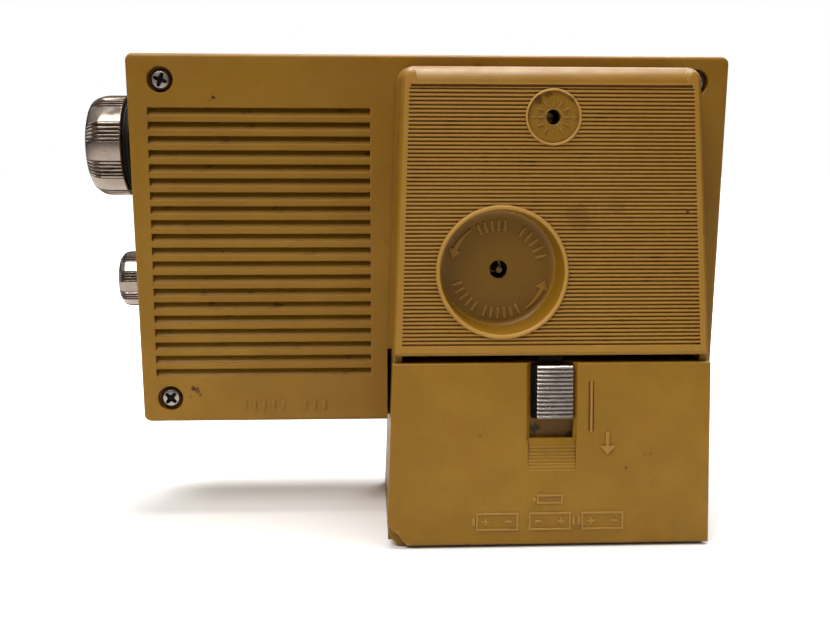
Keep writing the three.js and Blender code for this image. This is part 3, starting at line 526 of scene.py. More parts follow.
MUSTARD = colour(144, 102, 20)
FADED = colour(154, 112, 27)
PAINTED_TOP_SHADE = colour(106, 71, 10)
GREENISH = colour(135, 99, 20)
GRAIN = colour(112, 76, 20)
RIB_TOP_HIGHLIGHT = colour(200, 152, 74)
RAISED_HIGHLIGHT = colour(206, 160, 84)
RUBBED_AND_HIGHLIT = colour(214, 164, 84)
SCRATCHED = colour(176, 134, 66)
GRIME_AND_SHADE = colour(98, 44, 3)
GREASE_AND_SHADE = colour(42, 26, 8)
SPECK = colour(70, 44, 16)
RUST = colour(72, 32, 4)
PAINTED_RECESS_SHADOW = colour(30, 20, 10)
MUD = colour(58, 42, 4)
DARK = colour(48, 26, 8)
SHADE = colour(106, 72, 0)
FRESH = colour(206, 160, 92)


def mustard_tone(f, height):
    """The moulding's colour: painted shade deepening it towards the top, with faded patches and fine grain.
    """
    upwards = f.ramp(height, ORIGIN.z - 0.03, ORIGIN.z + BODY_HEIGHT * MM)
    base = f.patches(MUSTARD, FADED, 34, 4, 0.35, 0.65)
    # painted shade: darker towards the top, where less light reaches the back
    base = f.over(base, PAINTED_TOP_SHADE, upwards, 0.46)
    base = f.patches(base, GREENISH, 11, 5, 0.40, 0.70, 0.5)
    return f.patches(base, GRAIN, 1.6, 4, 0.52, 0.80, 0.22)


def handled(f, split, base, level_highlight):
    """Lightens what lies level with the sloping face, and what stands proud of it: a painted highlight where
    the light from above catches the rib tops and the raised marks.
    """
    slope = f.plus(split["Y"], f.times(split["Z"], BACK_SLOPE))
    level = ORIGIN.y + HOUSING_DEPTH_AT_TOP * MM + BACK_SLOPE * (BODY_HEIGHT * MM + ORIGIN.z)
    above = f.minus(slope, level)
    # painted highlight on the rib tops and on the raised marks
    base = f.over(base, RIB_TOP_HIGHLIGHT, f.ramp(above, -0.14 * MM, -0.02 * MM), level_highlight)
    return f.over(base, RAISED_HIGHLIGHT, f.ramp(above, 0.06 * MM, 0.20 * MM), 0.27)


def stained(f, depth, base, stains, pits):
    """Lays stains over every surface, and pits only over what lies at or below a depth: mud, and painted
    shade in recesses.
    """
    for x, z, radius, tone, strength in stains:
        base = f.over(base, tone, f.spot(x, z, radius), strength)
    for x, z, radius, tone, strength, floor in pits:
        sunk = f.ramp(depth, ORIGIN.y + (floor - 0.12) * MM, ORIGIN.y + (floor + 0.12) * MM, 1.0, 0.0)
        there = f.times(f.spot(x, z, radius, 0.03 if radius > 4 else 0.7), sunk)
        base = f.over(base, tone, there, strength)
    return base


def mustard(name, stains=(), pits=(), level_highlight=0.0):
    """Moulded mustard plastic with rubbed edges and a painted highlight along them, grime and painted shade
    in its grooves, soot and painted shade in its corners, dark specks and fine scratches. Grime and painted
    shade are thinner on the cabinet's louvred side."""
    f = Finish(name)
    split = f.add("SeparateXYZ", {"Vector": f.place}).outputs
    soft = f.softened(0.22)
    worn = f.worn(soft)
    base = handled(f, split, mustard_tone(f, split["Z"]), level_highlight)
    # rubbed edges, with a painted highlight along every edge
    base = f.over(base, RUBBED_AND_HIGHLIT, worn, f.ramp(f.noise(3, 3), 0.25, 0.6, 0.45, 1.0))
    # grime in grooves and hollows, with painted shade where they are deep
    grime_and_shade = f.times(f.crevices(1.3), f.ramp(f.noise(2.4, 4), 0.25, 0.6, 0.55, 0.75))
    grime_and_shade = f.times(grime_and_shade, f.ramp(split["X"], ORIGIN.x + 15 * MM, ORIGIN.x + 17 * MM, 1.0, 0.45))
    base = f.mix(grime_and_shade, base, GRIME_AND_SHADE)
    # soot in the deepest corners, with painted shade there
    soot_and_shade = f.times(f.ramp(f.noise(4.5, 5, (0.6, 1, 1)), 0.60, 0.72), f.crevices(3.5, 0.5, 0.98))
    base = f.over(base, GREASE_AND_SHADE, soot_and_shade, 0.7)
    specks = f.times(f.ramp(f.cells(9), 0.030, 0.055, 1, 0), f.ramp(f.noise(23, 1), 0.52, 0.60))
    base = f.over(base, SPECK, specks, 0.75)
    base = stained(f, split["Y"], base, stains, pits)
    upright = f.ramp(f.noise(0.5, 2, (1, 1, 0.03)), 0.66, 0.74)
    level = f.ramp(f.noise(0.6, 2, (0.03, 1, 1)), 0.66, 0.74)
    scratches = f.times(f.plus(upright, level), f.ramp(f.noise(26, 2), 0.5, 0.7))
    base = f.over(base, SCRATCHED, scratches, 0.08)
    rough = f.plus(f.ramp(f.noise(7, 4), 0.3, 0.7, 0.36, 0.50), f.times(grime_and_shade, 0.25))
    rough = f.minus(rough, f.times(worn, 0.08))
    normal = f.bump(f.noise(0.4, 3), 0.008, soft, 0.4)
    normal = f.bump(f.noise(9, 2), 0.03, normal, 0.3)
    normal = f.bump(f.times(scratches, -1.0), 0.006, normal, 0.2)
    return f.finish(Base_Color=base, Roughness=rough, Normal=normal, Specular_IOR_Level=0.30)


def chrome(name, tone=(160, 147, 136), rough=(0.09, 0.24), grime_and_shade_strength=0.95):
    """Plating on plastic: hazy patches, hairline scratches, pits, brown grime and painted shade between the
    ridges.
    """
    f = Finish(name)
    base = f.patches(colour(*tone), colour(146, 134, 124), 4, 4, 0.4, 0.7, 0.5)
    pits = f.ramp(f.noise(0.7, 4), 0.66, 0.74)
    base = f.over(base, colour(92, 76, 62), pits, 0.7)
    # grime in crevices, with painted shade there
    grime_and_shade = f.times(f.crevices(0.9, 0.3, 0.85), f.ramp(f.noise(1.3, 4), 0.3, 0.6, 0.4, grime_and_shade_strength))
    base = f.mix(grime_and_shade, base, colour(52, 38, 28))
    hairlines = f.ramp(f.noise(0.18, 2, (0.04, 1, 1)), 0.58, 0.72)
    base = f.over(base, colour(104, 90, 78), hairlines, 0.55)
    haze = f.plus(f.ramp(f.noise(3.2, 5), 0.35, 0.7, *rough), f.times(grime_and_shade, 0.35))
    haze = f.plus(haze, f.times(hairlines, 0.14))
    metal = f.minus(1.0, f.times(grime_and_shade, 0.8))
    normal = f.bump(f.noise(1.1, 3), 0.010, f.softened(0.12), 0.5)
    normal = f.bump(f.times(pits, -1.0), 0.03, normal, 0.6)
    return f.finish(Base_Color=base, Metallic=metal, Roughness=haze, Normal=normal)


def metal(name, tone, dull, rough, grain, spotting):
    """Bare or plated metal with directional grain, tarnish patches and edge shine."""
    f = Finish(name)
    soft = f.softened(0.15)
    tarnish = f.ramp(f.noise(3.5, 5), 0.45, 0.75, 0, spotting)
    base = f.mix(tarnish, colour(*tone), colour(*dull))
    # painted shade: darker in crevices
    base = f.over(base, colour(40, 32, 24), f.crevices(1.2), 0.7)
    brushed = f.noise(0.25, 3, grain)
    haze = f.plus(f.ramp(brushed, 0.3, 0.7, *rough), f.times(tarnish, 0.2))
    haze = f.minus(haze, f.times(f.worn(soft), 0.08))
    return f.finish(Base_Color=base, Metallic=1.0, Roughness=haze, Normal=f.bump(brushed, 0.008, soft, 0.6))


def plastic(name, tone, shade, rough, dust, dust_tone=(150, 138, 118), shine=0.5):
    """Coloured moulding or painted part: mottled tone, fine grain, dust and pale rubbed edges."""
    f = Finish(name)
    soft = f.softened(0.2)
    base = f.patches(colour(*tone), colour(*shade), 6, 4, 0.3, 0.7)
    base = f.over(base, colour(*[min(255, int(c * 1.25 + 14)) for c in tone]), f.worn(soft), 0.3)
    base = f.patches(base, colour(*dust_tone), 1.1, 5, 0.5, 0.8, dust)
    # painted shade: darker in crevices
    base = f.over(base, colour(*[int(c * 0.35) for c in shade]), f.crevices(1.5), 0.6)
    haze = f.ramp(f.noise(2.6, 4), 0.3, 0.7, *rough)
    normal = f.bump(f.noise(0.28, 3), 0.010, soft, 0.6)
    return f.finish(Base_Color=base, Roughness=haze, Normal=normal, Specular_IOR_Level=shine)


def clear(name):
    """Clear moulding with a faint tint, fine scratches and a little haze."""
    f = Finish(name)
    scratches = f.ramp(f.noise(0.4, 3, (0.05, 1, 1)), 0.62, 0.72)
    haze = f.plus(f.ramp(f.noise(5, 4), 0.3, 0.7, 0.02, 0.08), f.times(scratches, 0.2))
    tint = f.patches(colour(250, 250, 246), colour(240, 242, 236), 9, 3, 0.3, 0.7)
    normal = f.bump(scratches, 0.004, None, 0.4)
    return f.finish(Base_Color=tint, Roughness=haze, Transmission_Weight=1.0, IOR=1.15, Normal=normal)


def paper_cone(name):
    f = Finish(name)
    fibres = f.noise(0.5, 5, (1, 0.3, 1))
    base = f.mix(f.ramp(fibres, 0.3, 0.7), colour(40, 37, 34), colour(70, 64, 58))
    haze = f.ramp(fibres, 0.3, 0.7, 0.8, 0.95)
    return f.finish(Base_Color=base, Roughness=haze, Normal=f.bump(fibres, 0.08, None, 0.8))


def laminate(name):
    f = Finish(name)
    weave = f.noise(0.9, 4, (0.25, 1, 1))
    base = f.mix(f.ramp(weave, 0.3, 0.7), colour(150, 108, 58), colour(120, 84, 42))
    base = f.patches(base, colour(88, 60, 34), 9, 4, 0.5, 0.75, 0.5)
    haze = f.ramp(weave, 0.3, 0.7, 0.35, 0.5)
    return f.finish(Base_Color=base, Roughness=haze, Normal=f.bump(weave, 0.02, None, 0.5))


def cell_jacket(name):
    """A plain printed steel jacket: a dark body and a lighter band near the top, scuffed."""
    f = Finish(name)
    low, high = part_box("battery_cell_1")
    height = f.ramp(f.add("SeparateXYZ", {"Vector": f.place}).outputs["Z"], low.z, high.z)
    base = f.patches(colour(38, 44, 52), colour(52, 58, 64), 8, 3, 0.3, 0.7)
    base = f.mix(f.ramp(height, 0.70, 0.71), base, colour(176, 128, 62))
    scuffs = f.ramp(f.noise(1.2, 5, (1, 1, 0.4)), 0.60, 0.72, 0, 0.7)
    base = f.mix(scuffs, base, colour(170, 166, 160))
    shine = f.ramp(scuffs, 0, 0.7, 0.35, 0.9)
    haze = f.ramp(f.noise(2.6, 4), 0.3, 0.7, 0.28, 0.42)
    normal = f.bump(f.noise(0.4, 3), 0.01, f.softened(0.2), 0.5)
    return f.finish(Base_Color=base, Metallic=shine, Roughness=haze, Normal=normal)


# Each metal's tone, dull tone, roughness, grain and spotting.
METALS = {
    "screw_steel": ((172, 166, 158), (104, 96, 86), (0.26, 0.42), (1, 1, 1), 0.7),
    "grille_metal": ((118, 98, 70), (80, 66, 46), (0.30, 0.46), (0.05, 1, 1), 0.5),
    "brass_parts": ((206, 168, 92), (150, 112, 58), (0.2, 0.36), (1, 1, 1), 0.6),
    "plated_steel": ((186, 182, 174), (128, 120, 108), (0.26, 0.42), (1, 0.2, 1), 0.5),
    "can_aluminium": ((200, 200, 198), (150, 150, 148), (0.3, 0.45), (1, 0.1, 1), 0.4),
}
# Each plastic's or paint's tone, shade, roughness and dust, then any dust tone and shine of its own.
PLASTICS = {
    "black_plastic": ((17, 16, 13), (11, 10, 8), (0.5, 0.66), 0.06, (84, 76, 54), 0.2),
    "dial_print": ((232, 224, 204), (216, 205, 180), (0.42, 0.55), 0.10),
    "red_paint": ((176, 44, 26), (150, 34, 20), (0.28, 0.42), 0.06),
    "white_plastic": ((224, 217, 198), (206, 196, 172), (0.35, 0.5), 0.12),
    "magnet_iron": ((66, 66, 68), (48, 48, 50), (0.5, 0.7), 0.2),
    "blue_sleeve": ((52, 88, 132), (38, 68, 108), (0.3, 0.45), 0.08),
    "ferrite": ((62, 58, 56), (44, 41, 40), (0.55, 0.75), 0.1),
}
FINISHES = {
    "housing_plastic": mustard("mustard_plastic"),
    "chrome_trim": chrome("chrome_trim"),
    # darker chrome for the knobs' ridge grooves: grime and painted shade
    "grimy_shaded_chrome": chrome("grimy_shaded_chrome", (74, 56, 42), (0.28, 0.45), 0.98),
    "clear_plastic": clear("clear_plastic"),
    "cone_paper": paper_cone("cone_paper"),
    "board_laminate": laminate("board_laminate"),
    "cell_jacket": cell_jacket("cell_jacket"),
}
FINISHES.update({name: metal(name, *look) for name, look in METALS.items()})
FINISHES.update({name: plastic(name, *look) for name, look in PLASTICS.items()})


def dress(thing, material):
    """Smooth shading with crisp edges, and the material in the thing's first slot."""
    mesh = thing.data
    for face in mesh.polygons:
        face.use_smooth = True
    mesh.set_sharp_from_angle(angle=math.radians(32))
    mesh.materials.clear()
    mesh.materials.append(material)
    modifier = thing.modifiers.new("even_normals", "WEIGHTED_NORMAL")
    modifier.keep_sharp = True
    modifier.weight = 100


def clean(mesh):
    """Merges doubled corners, removes slivers and splits the flats into plain triangles."""
    smallest = 0.002 * MM
    work = bmesh.new()
    work.from_mesh(mesh)
    bmesh.ops.remove_doubles(work, verts=work.verts, dist=smallest)
    bmesh.ops.dissolve_degenerate(work, edges=work.edges, dist=smallest)
    bmesh.ops.triangulate(work, faces=work.faces, quad_method="BEAUTY", ngon_method="BEAUTY")
    work.to_mesh(mesh)
    work.free()


def piece(name, shape, node, material=None, replace=True):
    """A finished part in the row frame. It rides with node's body and, unless replace is False, hides that
    node.
    """
    mesh = as_mesh(name, shifted(shape, lambda x, y, z: Vector((x, y, z)) * MM + ORIGIN))
    clean(mesh)
    thing = placed(name, mesh)
    dress(thing, material or FINISHES[SLOT_OF[node]])
    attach(thing, BODY_OF[node])
    if replace:
        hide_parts(node)
    return thing


# ------------------------------------------------------------------ rear cover and clock housing
def at_screws(radius, y0, y1, sides):
    """A rod on the axis of each cover screw."""
    return [rod(x, z, radius, y0, y1, sides) for x, z, turn in SCREWS.values()]


def body_outline(inset):
    low = half_width(0) - inset
    high = half_width(BODY_HEIGHT) - inset
    corners = [(-low, inset), (low, inset), (high, BODY_HEIGHT - inset), (-high, BODY_HEIGHT - inset)]
    return rounded(corners, max(BODY_CORNER - inset, 0.6))


def housing_outline(grow, corner=HOUSING_CORNER, inset=0.0):
    """The housing's outline: its sides and top grow by the draft, and its underside doesn't."""
    low = HOUSING_UNDERSIDE + inset
    high = HOUSING_TOP + grow - inset
    side = grow - inset
    corners = [(housing_right(low) - side, low), (housing_left(low) + side, low),
               (housing_left(high) + side, high), (housing_right(high) - side, high)]
    return rounded(corners, [0.9, 0.9, corner, corner], 6)


def brow_rolls(count):
    """The edge's radius at each point of the brow: wide at the top edge, tight on the sides and foot."""
    steps = count // 4
    rolls = [HOUSING_FOOT_EDGE] * (2 * steps)
    climb = [HOUSING_EDGE + (HOUSING_CREST - HOUSING_EDGE) * (k / (steps - 1)) ** 2.6 for k in range(steps)]
    return rolls + climb + climb[::-1]


def housing_body():
    """Side walls with draft, rolled over into the sloping face."""
    reach = face_y(HOUSING_TOP) + 1
    foot = housing_outline(HOUSING_DRAFT * reach, HOUSING_CORNER + 0.6)
    brow = housing_outline(HOUSING_DRAFT * HOUSING_EDGE)
    outward = [Vector((ahead[1] - behind[1], behind[0] - ahead[0])).normalized()
               for behind, ahead in zip(brow[-1:] + brow[:-1], brow[1:] + brow[:1])]
    rings = [at_y(foot, -1)]
    for inset, drop in quarter_round(1, 7):
        ring = []
        for (x, z), way, roll in zip(brow, outward, brow_rolls(len(brow))):
            level = z - way.y * roll * inset
            ring.append((x - way.x * roll * inset, face_y(level) - roll * drop, level))
        rings.append(ring)
    return loft(rings)


def groove(z, shoulder, margin):
    """A groove across the housing's face, from its half widths at each depth."""
    section = [(y, z + half) for y, half in shoulder] + [(y, z - half) for y, half in reversed(shoulder)]
    return swept(section, housing_right(z) + margin, housing_left(z) - margin)


def rib_grooves():
    """The fine horizontal grooves and the deeper line above them, kept clear of the two round rims."""
    grooves = [groove(RIB_TOP - i * RIB_PITCH, RIB_SHOULDER, RIB_MARGIN) for i in range(RIB_COUNT)]
    grooves.append(groove(RIB_TOP + LINE_ABOVE_RIBS, LINE_SHOULDER, RIB_MARGIN + 0.4))
    laid = on_face(together(*grooves))
    for centre, radius in ((DISH, DISH_RIM + 0.25), (REGULATOR, REGULATOR_RIM + 0.1)):
        laid = cut(laid, rod(centre.x, centre.z, radius, 10, 40, 72))
    return laid


def dish_ring(radius, share, lift=0.0):
    """A ring at a share of the way from the dish's level floor to the sloping face."""
    sunk = 1 - max(0, share)
    outline = circle(DISH.x + DISH_SHIFT[0] * sunk, DISH.z + DISH_SHIFT[1] * sunk, radius, 72)
    return [(x, DISH_FLOOR_Y + (face_y(z) - DISH_FLOOR_Y) * share + lift, z) for x, z in outline]


def dish_pocket():
    """The hollow of the dish: level floor, rolled foot, sloping wall and open mouth."""
    wall = [(DISH_FLOOR - 1.6, 0), (DISH_FLOOR - 0.7, 0.02), (DISH_FLOOR, 0.10), (DISH_FLOOR + 0.2, 0.24),
            (DISH_FLOOR + 0.6, 0.7), (DISH_RIM - 1.15, 1.0)]
    return loft([dish_ring(*step) for step in wall] + [dish_ring(DISH_RIM - 0.8, 1.0, 1.6)])


def dish_rim():
    """The low bead round the dish's mouth."""
    bead = [(0.1, -1.0), (0.1, 0.3), (-0.1, 0.6), (-0.5, 0.72), (-0.9, 0.56), (-1.3, 0.0), (-1.5, -1.0)]
    return on_face(turned([(DISH_RIM + out, up) for out, up in bead], DISH, sides=72))


def arrow_on_floor(start, end):
    """A raised curved arrow on the dish's floor, from one angle to another in degrees."""
    low, high = DISH_FLOOR_Y - 0.4, DISH_FLOOR_Y + 0.45
    count = 14

    def at(radius, angle):
        return SHAFT.x + radius * math.cos(angle), SHAFT.z + radius * math.sin(angle)
    outer, inner = [], []
    for k in range(count + 1):
        angle = math.radians(start + (end - start) * k / count)
        half = 0.42 * (0.5 + 1.1 * k / count)
        outer.append(at(ARROW_RADIUS + half, angle))
        inner.append(at(ARROW_RADIUS - half, angle))
    tip = math.radians(end) + math.copysign(math.radians(9), end - start)
    base = math.radians(end) - math.copysign(math.radians(1.5), end - start)
    head = [at(ARROW_RADIUS + 2.0, base), at(ARROW_RADIUS, tip), at(ARROW_RADIUS - 2.0, base)]
    return join(slab(outer + inner[::-1], low, high), slab(head, low - 0.03, high - 0.03))


def floor_bars(start, end, count):
    """Raised radial bars in the band round the dish's floor, between two angles in degrees."""
    bars = []
    for k in range(count):
        angle = math.radians(start + (end - start) * k / (count - 1))
        outline = radial_bar(SHAFT, angle, 12.2, 15.6, 0.36, 0.36)
        bars.append(slab(outline, DISH_FLOOR_Y - 0.4, DISH_FLOOR_Y + 0.4))
    return bars


def on_scale(outline, sunk, proud):
    """A raised shape on the sunk disc of the regulator's scale."""
    return on_face(slab(outline, -REGULATOR_DEPTH - sunk, -REGULATOR_DEPTH + proud))


def regulator_mark(k):
    """One of the scale's twelve radial marks. Every third is longer and starts nearer the hole."""
    near, far = (0.6, 2.5) if k % 3 == 0 else (1.5, 3.2)
    reach = REGULATOR_HOLE + near, REGULATOR_HOLE + far
    return on_scale(radial_bar(REGULATOR, math.radians(k * 30), *reach, 0.3, 0.2), 0.4, 0.42)


def regulator_sign(side):
    """A minus on the scale's +X side, or a plus on its -X side."""
    x, z = REGULATOR.x + side * 6.45, REGULATOR.z
    reach, stroke = 0.85, 0.24
    sign = on_scale(rectangle(x - reach, x + reach, z - stroke, z + stroke), 0.4, 0.24)
    if side < 0:
        sign = join(sign, on_scale(rectangle(x - stroke, x + stroke, z - reach, z + reach), 0.38, 0.22))
    return sign


def regulator_relief():
    """What stands up from the scale's sunk disc: its rim, a collar round the hole, marks and signs."""
    floor, hole, edge = -REGULATOR_DEPTH, REGULATOR_HOLE, REGULATOR_RIM
    rim = [(edge, -1), (edge, 0.22), (edge - 0.3, 0.4), (edge - 0.6, 0.25), (edge - 0.75, -1)]
    collar = [(hole - 0.2, floor - 0.5), (hole + 0.34, floor - 0.5), (hole + 0.3, floor + 0.06),
              (hole + 0.1, floor + 0.12), (hole - 0.2, floor + 0.12)]
    rings = [on_face(turned(rim, REGULATOR, sides=56)), on_face(turned(collar, REGULATOR, sides=40))]
    return rings + [regulator_mark(k) for k in range(12)] + [regulator_sign(side) for side in (-1, 1)]


def louvre_cutters():
    """Slots that run in level and then turn upwards, with softened mouths."""
    mouth = [(0.5, 0.95), (0.02, 0.43), (-0.14, 0.16), (-0.45, 0), (LOUVRE_BEND, 0)]
    cutters = []
    for i in range(LOUVRE_COUNT):
        top = LOUVRE_TOP - i * LOUVRE_PITCH
        foot = top - LOUVRE_SLOT
        upper = [(y, top + rise) for y, rise in mouth] + [(LOUVRE_BACK, top + LOUVRE_RISE)]
        lower = [(LOUVRE_BACK, foot + LOUVRE_RISE)] + [(y, foot - rise) for y, rise in reversed(mouth)]
        cutters.append(swept(upper + lower, *LOUVRE_X))
    return cutters


def screw_recess(x, z):
    profile = [(0, -3.2), (SCREW_RECESS, -3.2), (SCREW_RECESS, -0.35), (SCREW_RECESS + 0.12, -0.12),
               (SCREW_RECESS + 0.4, 0), (SCREW_RECESS + 0.9, 0.5), (0, 0.5)]
    return turned(profile, (x, 0, z), sides=40)


def cover_walls():
    """The cover's tray with its louvre pad and screw bosses, and the hollow housing with the dish's cup."""
    tray = cut(edged(body_outline, -REAR_RIM, 0, 1.3), slab(body_outline(WALL), -REAR_RIM - 1, -WALL))
    pad = block(LOUVRE_X[0] - 2, LOUVRE_X[1] + 2, -4.9, -WALL / 2, 14.5, 109)
    shell = join(join(tray, pad), *at_screws(5.4, -REAR_RIM, -WALL / 2, 36))
    shell = join(shell, housing_body())
    shell = cut(shell, slab(housing_outline(0, 2.5, WALL), -REAR_RIM - 1, face_y(HOUSING_TOP) - WALL))
    return join(shell, loft([dish_ring(DISH_FLOOR + 1.8, -0.3), dish_ring(DISH_FLOOR + 2.6, 0.93)]))


def rear_cover():
    shell = join(cover_walls(), dish_rim())
    shell = cut(shell, dish_pocket())
    shell = cut(shell, rib_grooves())
    shell = cut(shell, on_face(rod(REGULATOR.x, REGULATOR.z, REGULATOR_RIM - 0.45, -REGULATOR_DEPTH, 2, 56)))
    shell = join(shell, *regulator_relief())
    shell = join(shell, *[slab(rounded(rectangle(x - 0.5, x + 0.5, 4.2, 7.0), 0.3, 3), -0.5, 0.45)
                          for x in TALLY_X])
    bars = [bar for band in FLOOR_BARS for bar in floor_bars(*band)]
    shell = join(shell, *[arrow_on_floor(*turn) for turn in FLOOR_ARROWS], *bars)
    shaft_hole = rod(SHAFT.x, SHAFT.z, SHAFT_HOLE, 5, 24, 40)
    scale_hole = rod(REGULATOR.x, REGULATOR.z, REGULATOR_HOLE, 5, 30, 36)
    bay = block(DOOR_RIGHT + 0.2, door_left(0) + 0.2, -REAR_RIM - 1, 1.5, -1, BAY_TOP + SEAM)
    shell = cut(shell, shaft_hole, scale_hole, *louvre_cutters(), bay)
    shell = cut(shell, *[screw_recess(x, z) for x, z, turn in SCREWS.values()])
    return cut(shell, *at_screws(1.8, -REAR_RIM - 1, -3, 20))


def screw(x, z, turn):
    """A pan head screw with a worn cross recess."""
    foot, top, head = SCREW_FOOT, SCREW_TOP, SCREW_HEAD
    profile = [(0, -16), (1.2, -15), (1.3, foot), (head - 0.2, foot), (head, foot + 0.3), (head, foot + 1.3),
               (head - 0.2, foot + 1.7), (head - 0.6, top - 0.2), (head - 1.3, top - 0.04), (head - 2.3, top),
               (0, top + 0.02)]
    body = turned(profile, (x, 0, z), sides=40)
    arm = [(-2.3, -0.45), (-0.95, -0.72), (0.95, -0.72), (2.3, -0.45)]
    arm += [(-u, -v) for u, v in arm]
    for angle in (turn, turn + 90):
        spin = Matrix.Rotation(math.radians(angle), 2)
        body = cut(body, slab([tuple(Vector((x, z)) + spin @ Vector(p)) for p in arm], top - 1.3, 1))
    return body


def blacken_cross(thing, x, z):
    """Lays black plastic in a screw's cross recess: old grime and painted shade."""
    thing.data.materials.append(FINISHES["black_plastic"])
    for face in thing.data.polygons:
        centre = (face.center - ORIGIN) / MM
        reach = math.hypot(centre.x - x, centre.z - z)
        if SCREW_TOP - 1.5 < centre.y < SCREW_TOP - 0.15 and reach < 2.35:
            face.material_index = 1


# ------------------------------------------------------------------ battery door, latch and box
def chip_cutter():
    """The broken-away lower corner, whose rough face leans back under the door."""
    front, middle, back = [], [], []
    for i, (x, z) in enumerate(CHIP):
        wobble = CHIP_JAG * math.sin(i * 2.4 + 0.7) if i in CHIP_BREAK else 0
        front.append((x + wobble, z - wobble))
        aside = CHIP_LEAN + wobble * 1.7 if i in CHIP_BREAK else 0
        down = CHIP_LEAN * 0.8 - wobble if i in CHIP_BREAK else 0
        back.append((x + aside, z - down))
        middle.append((x + (wobble + aside) / 2 + CHIP_JAG, z - (wobble + down) / 2))
    return loft([at_y(back, 15), at_y(middle, 32.2), at_y(front, 33.2), at_y(front, 45)])


def door_slot():
    """The latch's slot through the door, with sloping lit walls on three sides."""
    right, left = LATCH_SLOT
    foot, flare = LATCH_SLOT_FOOT, 1.3

    def ring(grow, y):
        return at_y(rectangle(right - grow, left + grow, foot - grow * 0.4, 34), y)
    return on_face(loft([ring(0, -4.4), ring(0, -1.7), ring(flare, 0), ring(flare * 1.4, 0.7)]))


def thumb_ramp():
    """The hollow below the slot, which slopes up to the door's face."""
    floor_top, floor_foot = LATCH_SLOT_FOOT + 1.2, LATCH_SLOT_FOOT - 0.9
    outline = [(-RAMP_DEPTH, floor_top), (-RAMP_DEPTH, floor_foot), (0.02, RAMP_FOOT), (2, RAMP_FOOT),
               (2, floor_top)]
    return on_face(swept(outline, LATCH_SLOT[0] - 0.8, LATCH_SLOT[1] + 0.8))


def ramp_ribs():
    ribs = []
    floor_foot = LATCH_SLOT_FOOT - 0.9
    for k in range(8):
        z = -1.5 - 1.04 * k
        floor = -RAMP_DEPTH + (RAMP_DEPTH + 0.02) * (floor_foot - z) / (floor_foot - RAMP_FOOT)
        crest = floor + 0.26 - 0.02 * k
        section = [(floor - 0.5, z - 0.40), (crest - 0.06, z - 0.20), (crest, z), (crest - 0.06, z + 0.20),
                   (floor - 0.5, z + 0.40)]
        ribs.append(on_face(swept(section, LATCH_SLOT[0] - 0.75, LATCH_SLOT[1] + 0.75)))
    return ribs


def raised(corners, height, radius=0.12):
    outline = rounded(corners, radius, 2)
    return on_face(slab(outline, height - 1, height))


def bar(x0, x1, z0, z1, height):
    return raised(rectangle(x0, x1, z0, z1), height)


def cell_sign(x, z, width, high, flip):
    """A raised outline of a dry cell lying down, with a plus at its button end and a minus at the other."""
    line, stroke, reach = 0.6, 0.32, 1.05
    left, right, top, foot = x + width / 2, x - width / 2, z + high / 2, z - high / 2
    level = together(bar(right, left, top - line, top, 0.29), bar(right, left, foot, foot + line, 0.29))
    upright = together(bar(right + 0.05, right + 0.05 + line, foot + 0.2, top - 0.2, 0.27),
                       bar(left - 0.05 - line, left - 0.05, foot + 0.2, top - 0.2, 0.27))
    nose = x + flip * (width / 2 + 0.7)
    parts = [join(level, upright), bar(nose - 0.4, nose + 0.4, z - high * 0.22, z + high * 0.22, 0.28)]
    if high > 4:
        plus, minus = x + flip * width * 0.27, x - flip * width * 0.27
        parts.append(join(bar(plus - reach, plus + reach, z - stroke, z + stroke, 0.29),
                          bar(plus - stroke, plus + stroke, z - reach, z + reach, 0.28)))
        parts.append(bar(minus - reach, minus + reach, z - stroke, z + stroke, 0.29))
    return parts


def door_signs():
    """The line and arrow beside the latch, and the outlines of the cells along the door's foot."""
    pointer = join(bar(-54.5, -53.5, -1.2, 3.4, 0.48),
                   raised([(-56.4, -1.0), (-54.0, -3.6), (-51.6, -1.0)], 0.5, 0.1))
    signs = [bar(-49.15, -48.5, 3.6, 19.3, 0.42), pointer]
    for x, flip in ((-19.4, 1), (-36, -1), (-52.6, 1)):
        signs += cell_sign(x, -24.6, 13.4, 5.6, flip)
    return signs + cell_sign(-36, -17.6, 8.4, 2.9, 1)


def door_plate():
    """A plate with a sloping face, softened all round."""
    top, foot = DOOR_TOP, DOOR_BOTTOM
    section = rounded([(face_y(top), top), (face_y(foot), foot), (face_y(foot) - DOOR_THICKNESS, foot),
                       (face_y(top) - DOOR_THICKNESS, top)], [0.55, 1.1, 1.1, 0.3], 5)
    rings = []
    for inset, drop in [(0, 12), *quarter_round(DOOR_EDGE, 4), (DOOR_EDGE, -1)]:
        corners = ((DOOR_RIGHT + inset, foot - 3), (door_left(foot - 3) - inset, foot - 3),
                   (door_left(top + 3) - inset, top + 3), (DOOR_RIGHT + inset, top + 3))
        rings.append([(x, face_y(z) - drop, z) for x, z in corners])
    return common(swept(section, DOOR_RIGHT - 2, 22), loft(rings))


